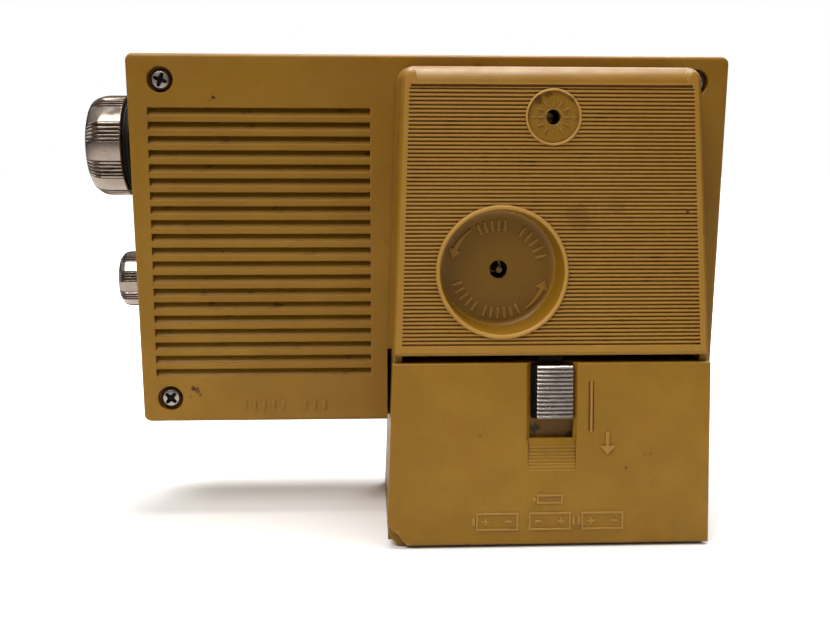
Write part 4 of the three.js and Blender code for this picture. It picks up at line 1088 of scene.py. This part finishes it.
def battery_door():
    right, left = LATCH_SLOT
    inside = -DOOR_THICKNESS
    guide = on_face(block(right - 2.8, left + 2.8, -6, inside + 0.5, LATCH_SLOT_FOOT - 2.2, DOOR_TOP - 0.4))
    channel = on_face(block(right - 1.2, left + 1.2, -4.4, inside, LATCH_SLOT_FOOT - 0.6, DOOR_TOP + 3))
    hinge_z = DOOR_BOTTOM + DOOR_THICKNESS / 2
    hinge_y = face_y(hinge_z) - DOOR_THICKNESS / 2
    hooks = [block(x - 4, x + 4, hinge_y - 5, hinge_y, hinge_z - 0.5, hinge_z + 0.9) for x in HINGE_HOOKS]
    door = join(door_plate(), guide, *hooks)
    door = cut(door, channel)
    door = cut(door, thumb_ramp())
    door = join(door, *ramp_ribs())
    door = cut(door, door_slot())
    door = cut(door, *[on_face(block(x - 0.25, x + 0.25, -0.35, 1, 3.6, 19.3)) for x in (-49.45, -48.2)])
    door = join(door, *door_signs())
    return cut(door, chip_cutter())


def latch_grip():
    """The chromed thumb grip with thirteen rounded ribs."""
    right, left, foot, top = -43.1, -31.7, 7.7, 24.3
    ribs = 13
    pitch = (top - foot) / ribs
    rib = ((0.08, 0.02), (0.20, 0.36), (0.34, 0.62), (0.50, 0.72), (0.66, 0.62), (0.82, 0.36))
    grip = [(height, foot + (i + share) * pitch) for i in range(ribs) for share, height in rib]
    grip += [(0.02, top), (-3, top), (-3, foot), (0.02, foot)]
    chamfer = 0.3
    rings = []
    for x, inset in ((right, chamfer), (right + chamfer, 0), (left - chamfer, 0), (left, chamfer)):
        rings.append([(x, y - (inset if y > 0 else 0), z) for y, z in grip])
    return on_face(loft(rings))


def latch_slide():
    """The plate that runs in the door's guide, with the tongue that reaches up to the housing's edge."""
    right, left = LATCH_SLOT[0] + 0.9, LATCH_SLOT[1] - 0.9
    plate = on_face(block(right, left, -4.1, -2.9, 7.2, DOOR_TOP - 0.7))
    tongue = on_face(block(right + 2, left - 2, -4.1, -2.9, DOOR_TOP - 1, HOUSING_UNDERSIDE - 0.4))
    return join(plate, tongue)


def plinth_rear(z):
    return face_y(z) - DOOR_THICKNESS - 0.4


def box_outline(inset):
    """The battery box's outline from behind, run on upwards to the cabinet's top."""
    low = PLINTH_BOTTOM - 1
    right = DOOR_RIGHT + BOX_REACH + inset
    return [(right, low + inset), (door_left(low) - BOX_REACH - inset, low + inset),
            (door_left(BODY_HEIGHT) - BOX_REACH - inset, BODY_HEIGHT), (right, BODY_HEIGHT)]


def box_mass():
    """The battery box before it is hollowed: plinth, bay and the two ears beside the door's top."""
    right, low = DOOR_RIGHT + BOX_REACH, PLINTH_BOTTOM
    side = rounded([(PLINTH_FRONT, low), (plinth_rear(low), low), (plinth_rear(BAY_TOP), BAY_TOP),
                    (BAY_FRONT, BAY_TOP), (BAY_FRONT, -SEAM), (PLINTH_FRONT, -SEAM)],
                   [2.0, 0.5, 0.3, 0.3, 0.3, 0.4], 4)
    mass = common(swept(side, right - 5, 20), edged(box_outline, 50, PLINTH_FRONT, 2.0))
    foot, top = BAY_TOP - 1, HOUSING_UNDERSIDE - SEAM
    ear_side = [(0.4, foot), (plinth_rear(foot), foot), (plinth_rear(top), top), (0.4, top)]
    ears = together(swept(ear_side, right, right + BOX_WALL), swept(ear_side, door_left(DOOR_TOP) - 3, 20))
    return join(mass, common(ears, slab(box_outline(0), -50, 50)))


def battery_box():
    """The plinth: an open-backed box under and behind the cabinet, with two ribs between its cells."""
    low, floor = PLINTH_BOTTOM, PLINTH_BOTTOM + 2.4
    right = DOOR_RIGHT + BOX_REACH + BOX_WALL
    left = door_left(DOOR_TOP) - BOX_REACH - BOX_WALL
    box = cut(box_mass(), block(right, left, BAY_FRONT + BOX_WALL, 50, floor, BAY_TOP - BOX_WALL))
    box = cut(box, block(right, left, PLINTH_FRONT + BOX_WALL, BAY_FRONT, floor, 5))
    box = cut(box, block(LATCH_SLOT[0] - 3.6, LATCH_SLOT[1] + 3.6, plinth_rear(BAY_TOP) - 5, 50, BAY_TOP - 4,
                         BAY_TOP + 1))
    rear = plinth_rear(low)
    box = cut(box, *[block(x - 5, x + 5, rear - 6, 50, low + 0.9, floor + 1) for x in HINGE_HOOKS])
    between = [extent(f"battery_cell_{i}")[0].x - 1.45 for i in (1, 2)]
    box = join(box, *[block(x - 0.7, x + 0.7, BAY_FRONT + 1, 4, floor - 1, BAY_TOP - BOX_WALL + 1)
                      for x in between])
    chipped = [(16, -27.6), (14.6, -28.6), (13.6, -30.6), (12.2, -32.0), (11.2, -34), (18, -36)]
    return cut(box, slab(chipped, 24.5, 45))


def battery_cell(node):
    """A dry cell: rolled jacket ends, crimp groove, sealing ring and positive button."""
    low, high = extent(node)
    radius = (high.x - low.x) / 2
    base, top = low.z, high.z
    rim = top - 1.6
    foot = [(3.5, 0.3), (3.0, 0), (0.9, 0), (0.25, 0.25), (0, 0.9)]
    crimp = [(0, 2.6), (0.35, 2.2), (0, 1.8), (0, 0.7), (0.3, 0.15), (0.9, 0), (1.5, 0.2), (1.8, 0.8)]
    profile = [(0, base + 0.3)] + [(radius - inset, base + up) for inset, up in foot]
    profile += [(radius - inset, rim - down) for inset, down in crimp]
    profile += [(5.6, rim - 0.8), (5.0, rim - 0.5), (3.9, rim - 0.3), (3.6, top - 0.35), (3.2, top), (0, top)]
    return turned(profile, ((low.x + high.x) / 2, (low.y + high.y) / 2, 0), "z", 56)


def cell_spring(node):
    """A conical coil of plated wire, standing on the floor of the bay."""
    low, high = extent(node)
    wire, turns, per_turn, sides = 0.3, 2.5, 28, 8
    rings = []
    for i in range(int(turns * per_turn) + 1):
        share = i / (turns * per_turn)
        angle = i / per_turn * 2 * math.pi
        z = low.z + wire + (high.z - low.z - 2 * wire) * share
        out = Vector((math.cos(angle), math.sin(angle), 0))
        middle = Vector(((low.x + high.x) / 2, (low.y + high.y) / 2, z)) + out * (5.5 - 2.5 * share)
        rings.append([tuple(middle + out * wire * math.cos(b) + Vector((0, 0, wire * math.sin(b))))
                      for b in (2 * math.pi * k / sides for k in range(sides))])
    return loft(rings)


def cell_contact(node):
    """A thin plated plate with a pressed-in ring and a rivet hole, over a cell's button."""
    low, high = extent(node)
    x, y = (low.x + high.x) / 2, (low.y + high.y) / 2
    outline = rounded(rectangle(low.x, high.x, low.y, high.y), 1.6, 4)
    plate = loft([[(a, b, z) for a, b in outline] for z in (low.z, high.z)])
    hole = tube(0, 1.1, low.z - 1, high.z + 1, (x + 4.4, y, 0), "z", 20)
    return cut(plate, hole, tube(2.4, 3.0, high.z - 0.2, high.z + 1, (x, y, 0), "z", 28))


# ------------------------------------------------------------------ knobs
def fluted(radius, flutes, phase, depth):
    """A radius round the turn: eight smooth facets with fine ridges between them."""
    def lobes(angle, scale):
        at = ((angle - phase) / KNOB_PERIOD + 0.25) % 1
        if at < 0.5:
            dip = 0.32 - 0.14 * ((at - 0.25) * 4) ** 2
        else:
            wave = 0.5 - 0.5 * math.cos(2 * math.pi * (at - 0.5) * 2 * flutes)
            dip = depth * (1 - min(1, wave * 1.5))
        return scale * (radius - dip) / radius
    return lobes


def knob(node, flutes, phase, depth, crown, bore, bore_depth):
    """A chromed knob on the x axis, rounded over at its outer end."""
    low, high = extent(node)
    radius = (high.z - low.z) / 2
    centre = (0, KNOB_AXIS_Y, (high.z + low.z) / 2)
    inner, outer = low.x, high.x
    along, across = crown
    face = radius - across
    profile = [(0, inner), (radius - 0.35, inner), (radius, inner + 0.35)]
    profile += [(radius - across * inset, outer - along * drop) for inset, drop in quarter_round(1, 9)]
    profile += [(face - 0.8, outer), (face - 1.2, outer - 0.5), (face * 0.45, outer - 0.95),
                (0, outer - 1.05)]
    lobes = fluted(radius, flutes, math.radians(phase), depth)

    def faded(angle, r):
        share = max(0, min(1, (r - face) / across))
        return r + (lobes(angle, r) - r) * share ** 0.5
    body = turned(profile, centre, "x", 384, faded)
    return cut(body, tube(0, bore, inner - 1, inner + bore_depth, centre, "x", 64))


def soil_ridges(thing, node, phase, depth):
    """Gives the grooves between a knob's ridges their second, darker plating: grime and painted shade."""
    thing.data.materials.append(FINISHES["grimy_shaded_chrome"])
    low, high = extent(node)
    radius, middle = (high.z - low.z) / 2, (high.z + low.z) / 2
    for face in thing.data.polygons:
        centre = (face.center - ORIGIN) / MM
        y, z = centre.y - KNOB_AXIS_Y, centre.z - middle
        at = ((math.atan2(z, y) - math.radians(phase)) / KNOB_PERIOD + 0.25) % 1
        sunk = radius - math.hypot(y, z)
        if at > 0.5 and abs(face.normal.x) < 0.5 and depth * 0.2 < sunk < depth * 1.3:
            face.material_index = 1


def tuning_core():
    """The black hub behind the tuning knob, ringed by three grooves."""
    low, high = extent("tuning_knob_core")
    inner = extent("tuning_knob_cap")[0].x + 1.2
    z = (high.z + low.z) / 2
    hub = (high.z - low.z) / 2
    wall = half_width(z) + 0.8
    profile = [(0, low.x), (3, low.x), (3, wall), (hub - 0.5, wall), (hub, wall + 0.5)]
    for k in range(3):
        x = wall + 1.0 + k * 1.3
        profile += [(hub, x), (hub - 0.35, x + 0.25), (hub - 0.35, x + 0.55), (hub, x + 0.8)]
    profile += [(hub, inner - 0.2), (hub - 0.3, inner), (4.4, inner), (4.4, high.x), (0, high.x)]
    return turned(profile, (0, KNOB_AXIS_Y, z), "x", 64)


# ------------------------------------------------------------------ front cabinet and trim
def front_cabinet():
    back = -REAR_RIM - SEAM
    shell = cut(edged(body_outline, back, FRONT, 2.3, 6), slab(body_outline(WALL), FRONT + WALL, back + 1))
    shell = join(shell, *at_screws(4.4, FRONT + WALL / 2, back, 32))
    windows = [circle(CLOCK.x, CLOCK.z, CLOCK_OPENING, 96), rounded(rectangle(*GRILLE), 3),
               rounded(rectangle(*SCALE), 1.5), rounded(rectangle(*SWITCH_SLOT), 0.8)]
    openings = [slab(window, FRONT - 1, FRONT + WALL + 1) for window in windows]
    knob_holes = []
    for node in ("tuning_knob_cap", "volume_knob"):
        low, high = extent(node)
        knob_holes.append(tube(0, 3.6, 90, 110, (0, KNOB_AXIS_Y, (low.z + high.z) / 2), "x", 32))
    shell = cut(shell, *at_screws(1.5, back - 12, back + 1, 16), *openings, *knob_holes)
    return cut(shell, block(DOOR_RIGHT + 0.2, door_left(0) + 0.2, BAY_FRONT - SEAM, 1, -5, BAY_TOP))


def speaker_grille():
    """A pressed grille: rolled frame, horizontal bars and two fine spines."""
    x0, x1, z0, z1 = GRILLE

    def outline(inset):
        a = 0.3 + inset
        return rounded(rectangle(x0 + a, x1 - a, z0 + a, z1 - a), 2.8 - inset)
    plate = edged(outline, FRONT + 1.2, FRONT - 0.4, 0.7)
    count = 15
    pitch = (z1 - z0 - 6) / count
    flare = [(FRONT - 1, 1.9), (FRONT + 0.1, 1.15), (FRONT + 3, 1.15)]
    slots = []
    for i in range(count):
        z = z0 + 3 + (i + 0.5) * pitch
        section = [(y, z + half) for y, half in flare] + [(y, z - half) for y, half in reversed(flare)]
        slots.append(swept(section, x0 + 4, x1 - 4))
    spines = [block(x - 0.6, x + 0.6, FRONT + 0.2, FRONT + 1.1, z0 + 2, z1 - 2) for x in (41.3, 66.7)]
    return join(cut(plate, *slots), *spines)


def ring_marks(turns, inner, outer, width, y):
    """Thin radial marks round the clock's dial, one at each share of a turn from twelve o'clock."""
    marks = []
    for share in turns:
        outline = radial_bar(CLOCK, math.pi / 2 - 2 * math.pi * share, inner, outer, width / 2, width / 2)
        marks.append(slab(outline, y - 0.08, y + 0.05))
    return together(*marks)


def clock_figures():
    """The hours from 1 to 12, with a mark at each minute and a broad one at each hour."""
    y = extent("clock_dial")[0].y
    radius = 29.5
    figures = []
    for hour in range(1, 13):
        a = math.radians(30 * hour)
        x, z = CLOCK.x + radius * math.sin(a), CLOCK.z + radius * math.cos(a)
        figures.append(lettering(str(hour), 6.4, x, y, z))
    minutes = ring_marks([k / 60 for k in range(60) if k % 5], 35.4, 37.2, 0.32, y)
    hours = ring_marks([k / 12 for k in range(12)], 34.2, 37.2, 0.9, y)
    return together(*figures, minutes, hours)


def clock_dial():
    low, high = extent("clock_dial")
    radius = (high.x - low.x) / 2
    rings = [(3.8, high.y), (radius, high.y), (radius, low.y + 0.1), (radius - 0.15, low.y), (20.3, low.y),
             (20.1, low.y + 0.08), (19.9, low.y), (3.8, low.y)]
    return turned(rings, CLOCK, sides=96)


def clock_bezel():
    """A turned chrome ring with a stepped lip."""
    lip = [(-3.4, 2), (-3.4, -0.3), (-3.1, -0.7), (-2.2, -1.0), (-1.9, -1.35), (-1.2, -1.7), (-0.4, -1.8),
           (0.5, -1.6), (1.2, -1.15), (1.6, -0.5), (1.6, -0.1), (-0.3, -0.1), (-0.3, 2)]
    return turned([(CLOCK_OPENING + out, FRONT + back) for out, back in lip], CLOCK, sides=128)


def clock_lens():
    """A thin crystal, domed towards the front."""
    radius = CLOCK_OPENING - 3.7
    count = 8
    outer = [(radius * k / count, FRONT + 0.2 + 0.9 * (k / count) ** 2) for k in range(count + 1)]
    inner = [(r, along + 0.9) for r, along in reversed(outer)]
    return turned(outer + inner, CLOCK, sides=96)


def hand(node, degrees, length, width, tail, hub, sleeve, bore):
    """A tapered hand with a ridge along its middle, on a hub that turns in the others."""
    low, high = extent(node)
    front, back = low.y, high.y
    thick = 0.3
    side = [(-width * 0.3, -tail), (-width / 2, length * 0.66), (-0.12, length), (0.12, length),
            (width / 2, length * 0.66), (width * 0.3, -tail)]
    ridge = [(x * 0.35, z * 0.97) for x, z in side]
    blade = loft([at_y(side, front + thick), at_y(side, front + 0.16), at_y(ridge, front)])
    s, c = math.sin(math.radians(degrees)), math.cos(math.radians(degrees))
    blade = shifted(blade, lambda x, y, z: (CLOCK.x + x * c + z * s, y, CLOCK.z - x * s + z * c))
    profile = [(bore, front + 0.02), (hub - 0.3, front + 0.02), (hub, front + 0.14),
               (hub, front + thick - 0.02), (sleeve, front + thick - 0.02), (sleeve, back), (bore, back)]
    body = join(blade, turned(profile, CLOCK, sides=40))
    return cut(body, tube(0, bore, front - 1, back + 1, CLOCK)) if bore > 0 else body


def dial_row(figures, figure_z, marks, mark_z, way, y):
    """A row of evenly spaced figures on the scale, and beside it a row of marks, every fifth longer."""
    start, width = 26, 56
    parts = []
    for k, figure in enumerate(figures):
        parts.append(lettering(figure, 3.0, start + width * k / (len(figures) - 1), y, figure_z))
    for k in range(marks):
        x = start + width * k / (marks - 1)
        end = mark_z + way * (1.5 if k % 5 == 0 else 0.8)
        parts.append(block(x - 0.12, x + 0.12, y - 0.08, y + 0.05, min(mark_z, end), max(mark_z, end)))
    return parts


def dial_figures():
    """Plain tuning figures and marks in two rows on the scale."""
    y = extent("dial_scale")[0].y
    upper = dial_row(("88", "92", "96", "100", "104", "108"), 101.2, 26, 98.6, -1, y)
    lower = dial_row(("54", "60", "70", "80", "100", "120", "160"), 92.2, 31, 95, 1, y)
    return together(*upper, *lower)


def speaker_cone():
    """A corrugated paper cone with a domed dust cap and a rolled surround."""
    low, high = extent("speaker_cone")
    rim = (high.x - low.x) / 2
    front = []
    count = 22
    for k in range(count + 1):
        share = k / count
        ripple = 0.28 * math.sin(k * math.pi / 1.5) if k > 12 else 0
        depth = -28.6 - 9.3 * share - 0.6 * math.sin(math.pi * share) + ripple
        front.append((7.5 + (rim - 2.5 - 7.5) * share, depth))
    cap = [(0, -31.2), (2.5, -30.9), (4.8, -30.1), (6.6, -29.0)]
    surround = [(rim - 1.6, -38.5), (rim - 0.8, -38.75), (rim, low.y)]
    back = [(rim, low.y + 0.5), (rim - 1.6, -37.9), (9, -27.9), (5.5, -27.7), (5.5, high.y), (0, high.y)]
    return turned(cap + front + surround + back, ((low.x + high.x) / 2, 0, (low.z + high.z) / 2), sides=72)


def set_shaft():
    """The time shaft's splined end."""
    low, high = extent("set_shaft")
    radius = (high.x - low.x) / 2
    profile = [(0, low.y), (radius, low.y), (radius, high.y - 0.35), (radius - 0.3, high.y), (0, high.y)]

    def splines(angle, r):
        return r * (1 - 0.10 * (math.sin(angle * 9) > 0.2)) if r > radius * 0.9 else r
    return turned(profile, SHAFT, sides=72, lobes=splines)


# ------------------------------------------------------------------ every piece
def cover_finish():
    """Rust by the lower screw, dirt round the regulator and on the panel, faint bruises on the ribs, and
    painted shade in the screw recesses and on the dish's floor."""
    on_panel = [(79.4, 11.4, 1.2, RUST, 0.95), (78.0, 10.7, 1.2, RUST, 0.7), (77.0, 9.2, 0.55, RUST, 0.7),
                (80.4, 8.6, 0.45, RUST, 0.6), (70.1, 107.1, 0.75, DARK, 0.95), (71.2, 106.2, 0.4, DARK, 0.5)]
    by_regulator = [(4.6, 5.0, 1.7, DARK, 0.6), (1.6, 6.6, 1.3, DARK, 0.5), (-5.6, 5.4, 1.0, DARK, 0.4),
                    (-42, -28.9, 0.7, DARK, 0.8), (-8.9, -30.5, 5.5, RUST, 0.22), (-20, -27, 3.4, RUST, 0.18)]
    stains = on_panel + [(REGULATOR.x + x, REGULATOR.z + z, *rest) for x, z, *rest in by_regulator]
    # painted shadow in the screw recesses
    pits = [(x, z, 4.5, PAINTED_RECESS_SHADOW, 0.92, -0.5) for x, z, turn in SCREWS.values()]
    # painted shade on the dish's floor
    pits.append((DISH.x, DISH.z, 25, SHADE, 0.85, DISH_FLOOR_Y + 0.2))
    return mustard("mustard_rear_cover", stains, pits, level_highlight=0.26)


def door_finish():
    """Small dark marks, fresh plastic along the broken edge, and mud and painted shadow in the latch's slot.
    """
    stains = [(-60, -8, 0.5, DARK, 0.8), (-14, 2.5, 0.45, DARK, 0.7), (-66, -4, 0.4, DARK, 0.5),
              (8.6, -31.4, 0.9, FRESH, 0.25), (11.9, -27.6, 0.9, FRESH, 0.25)]
    # mud on the slot's floor, with painted shadow beside and under the latch
    in_slot = [(-37.4, 2.5, 9.0, MUD, 0.5), (-31.8, 4.0, 2.2, PAINTED_RECESS_SHADOW, 0.8), (-38.5, -0.4, 1.6, MUD, 0.8),
               (-43.0, 1.0, 2.0, PAINTED_RECESS_SHADOW, 0.7)]
    return mustard("mustard_door", stains, [(*spot, face_y(2.5) - 2.2) for spot in in_slot])


def back_pieces():
    piece("rear_cover_shell", rear_cover(), "rear_cover", cover_finish())
    for node, (x, z, turn) in SCREWS.items():
        blacken_cross(piece(node + "_head", screw(x, z, turn), node), x, z)
    piece("battery_door_panel", battery_door(), "battery_door", door_finish())
    bright = chrome("latch_chrome", (176, 170, 164), (0.14, 0.30))
    piece("battery_latch_grip", latch_grip(), "battery_latch", bright)
    # painted shade: the slide is darkened to near black to stand for the shadow in the gap under the housing
    shaded = plastic("latch_slide_shaded_plastic", (20, 13, 6), (12, 8, 4), (0.6, 0.75), 0.05, shine=0.1)
    piece("battery_latch_slide", latch_slide(), "battery_latch", shaded)
    piece("battery_box", battery_box(), "battery_housing")
    for i in (1, 2, 3):
        piece(f"dry_cell_{i}", battery_cell(f"battery_cell_{i}"), f"battery_cell_{i}")
        piece(f"coil_spring_{i}", cell_spring(f"cell_spring_{i}"), f"cell_spring_{i}")
        piece(f"contact_plate_{i}", cell_contact(f"cell_contact_{i}"), f"cell_contact_{i}")
    brass = metal("old_brass", (104, 84, 52), (44, 34, 20), (0.2, 0.36), (1, 1, 1), 0.5)
    piece("time_shaft", set_shaft(), "set_shaft", brass)


def knob_piece(name, node, flutes, phase, depth, crown, bore, bore_depth):
    thing = piece(name, knob(node, flutes, phase, depth, crown, bore, bore_depth), node)
    soil_ridges(thing, node, phase, depth)


def knob_pieces():
    low, high = extent("tuning_knob_cap")
    hollow = (high.z - low.z) / 2 - 1.9
    knob_piece("tuning_knob_chrome", "tuning_knob_cap", 5, 38, 0.6, (6.0, 4.6), hollow, 10.2)
    piece("tuning_knob_hub", tuning_core(), "tuning_knob_core")
    knob_piece("volume_knob_chrome", "volume_knob", 4, 33, 0.45, (3.2, 2.4), 3.0, 5.4)


def front_pieces():
    piece("front_cabinet_shell", front_cabinet(), "front_cabinet")
    piece("speaker_grille_plate", speaker_grille(), "speaker_grille")
    piece("speaker_cone_paper", speaker_cone(), "speaker_cone")
    piece("clock_bezel_ring", clock_bezel(), "clock_bezel")
    piece("clock_crystal", clock_lens(), "clock_lens")
    piece("clock_dial_plate", clock_dial(), "clock_dial")
    ink = plastic("dial_ink", (34, 30, 28), (24, 22, 20), (0.4, 0.6), 0.05)
    piece("clock_figures", clock_figures(), "clock_dial", ink, replace=False)
    pale = plastic("scale_figures_ink", (226, 214, 178), (210, 196, 158), (0.4, 0.6), 0.05)
    piece("scale_figures", dial_figures(), "dial_scale", pale, replace=False)
    hands = {"alarm_hand": (210, 17, 2.4, 3, 4.4, 3.4, 2.9), "hour_hand": (305, 23, 3.6, 5, 4, 2.6, 2.1),
             "minute_hand": (60, 34, 3, 7, 3.4, 1.8, 1.2), "second_hand": (180, 34, 1, 10, 2.6, 0.9, 0)}
    for node, shape in hands.items():
        piece(node + "_blade", hand(node, *shape), node)


def dress_frame_nodes():
    """The inner works stay as the frame's own nodes, with softened edges and their own finishes."""
    dark_scale = plastic("scale_black", (30, 28, 26), (22, 20, 19), (0.35, 0.5), 0.06)
    for name, node in frame["nodes"].items():
        if node.hide_render:
            continue
        node.data.materials.clear()
        node.data.materials.append(dark_scale if name == "dial_scale" else FINISHES[SLOT_OF[name]])
        weld = node.modifiers.new("weld", "WELD")
        weld.merge_threshold = 1e-6
        bevel = node.modifiers.new("edges", "BEVEL")
        bevel.width = 0.2 * MM
        bevel.segments = 2
        bevel.limit_method = "ANGLE"
        bevel.angle_limit = math.radians(50)
        bevel.harden_normals = False


# ------------------------------------------------------------------ floor, light and camera
def stage_floor():
    """A wide pale floor that shows the radio's shadow nearby and fades into the pale surroundings."""
    mesh = bpy.data.meshes.new("floor")
    mesh.from_pydata([(x, y, 0) for x, y in rectangle(-6, 6, -6, 6)], [], [(0, 1, 2, 3)])
    floor = placed("floor", mesh)
    f = Finish("pale_floor")
    seen = f.add("LightPath").outputs["Is Camera Ray"]
    tone = f.mix(seen, (0.70, 0.69, 0.67, 1), (0.93, 0.93, 0.93, 1))
    far = f.times(f.ramp(f.length(f.place), 0.12, 0.42), seen)
    surface = f.finish(Base_Color=tone, Roughness=0.9, Emission_Color=(1, 1, 1, 1), Emission_Strength=far,
                       Specular_IOR_Level=0.1)
    mesh.materials.append(surface)


def studio_world():
    """Even pale surroundings to the camera; to the radio, a bright ceiling over a dim horizon."""
    world = bpy.data.worlds.new("studio")
    bpy.context.scene.world = world
    w = Nodes(world)
    upward = w.add("SeparateXYZ", {"Vector": w.add("TexCoord").outputs["Generated"]}).outputs["Z"]
    ramp = w.add("ValToRGB")
    w.feed(ramp.inputs[0], w.add("MapRange", {"Value": upward, "From Min": -1}).outputs[0])
    stops = [(0.0, 0.20), (0.46, 0.10), (0.52, 0.03), (0.62, 0.07), (0.78, 0.42), (1.0, 0.62)]
    elements = ramp.color_ramp.elements
    while len(elements) < len(stops):
        elements.new(0.5)
    for element, (position, level) in zip(elements, stops):
        element.position = position
        element.color = (level, level * 0.98, level * 0.95, 1)
    seen = w.add("LightPath").outputs["Is Camera Ray"]
    w.feed(w.tree.nodes["Background"].inputs["Color"], w.mix(seen, ramp.outputs[0], (1, 1, 1, 1)))


def aimed(name, data, location, rotation):
    """A light or camera in the scene, at a place and with a quaternion turn."""
    holder = placed(name, data)
    holder.location = location
    holder.rotation_mode = "QUATERNION"
    holder.rotation_quaternion = rotation
    return holder


def area_light(name, offset, size, power, tone):
    """A round soft light at an offset from the radio's middle, in metres, and facing it."""
    light = bpy.data.lights.new(name, "AREA")
    light.shape = "DISK"
    light.size = size
    light.energy = power
    light.color = tone
    target = (cad_low + cad_high) / 2
    place = target + Vector(offset)
    holder = aimed(name, light, place, (target - place).to_track_quat("-Z", "Y"))
    holder.visible_camera = False


def photo_camera():
    camera = bpy.data.cameras.new("camera")
    camera.sensor_width = 36
    camera.lens = 43.866
    camera.clip_start = 0.01
    yaw, pitch = math.radians(-2.654), math.radians(8.66)
    forward = Vector((math.sin(yaw) * math.cos(pitch), -math.cos(yaw) * math.cos(pitch), -math.sin(pitch)))
    roll = Matrix.Rotation(math.radians(-0.122), 3, forward).to_quaternion()
    place = ORIGIN + Vector((20.49, 334.44, 88.153)) * MM
    bpy.context.scene.camera = aimed("camera", camera, place, roll @ forward.to_track_quat("-Z", "Y"))


def studio():
    stage_floor()
    studio_world()
    area_light("key", (0.30, 0.42, 0.75), 0.45, 4.4, (1.0, 0.98, 0.95))
    area_light("top", (-0.04, -0.10, 0.70), 0.5, 8.0, (1.0, 0.98, 0.96))
    area_light("fill", (-0.35, -0.60, 0.45), 0.6, 3.0, (0.96, 0.98, 1.0))
    photo_camera()
    bpy.context.scene.view_settings.view_transform = "Standard"


back_pieces()
knob_pieces()
front_pieces()
dress_frame_nodes()
studio()
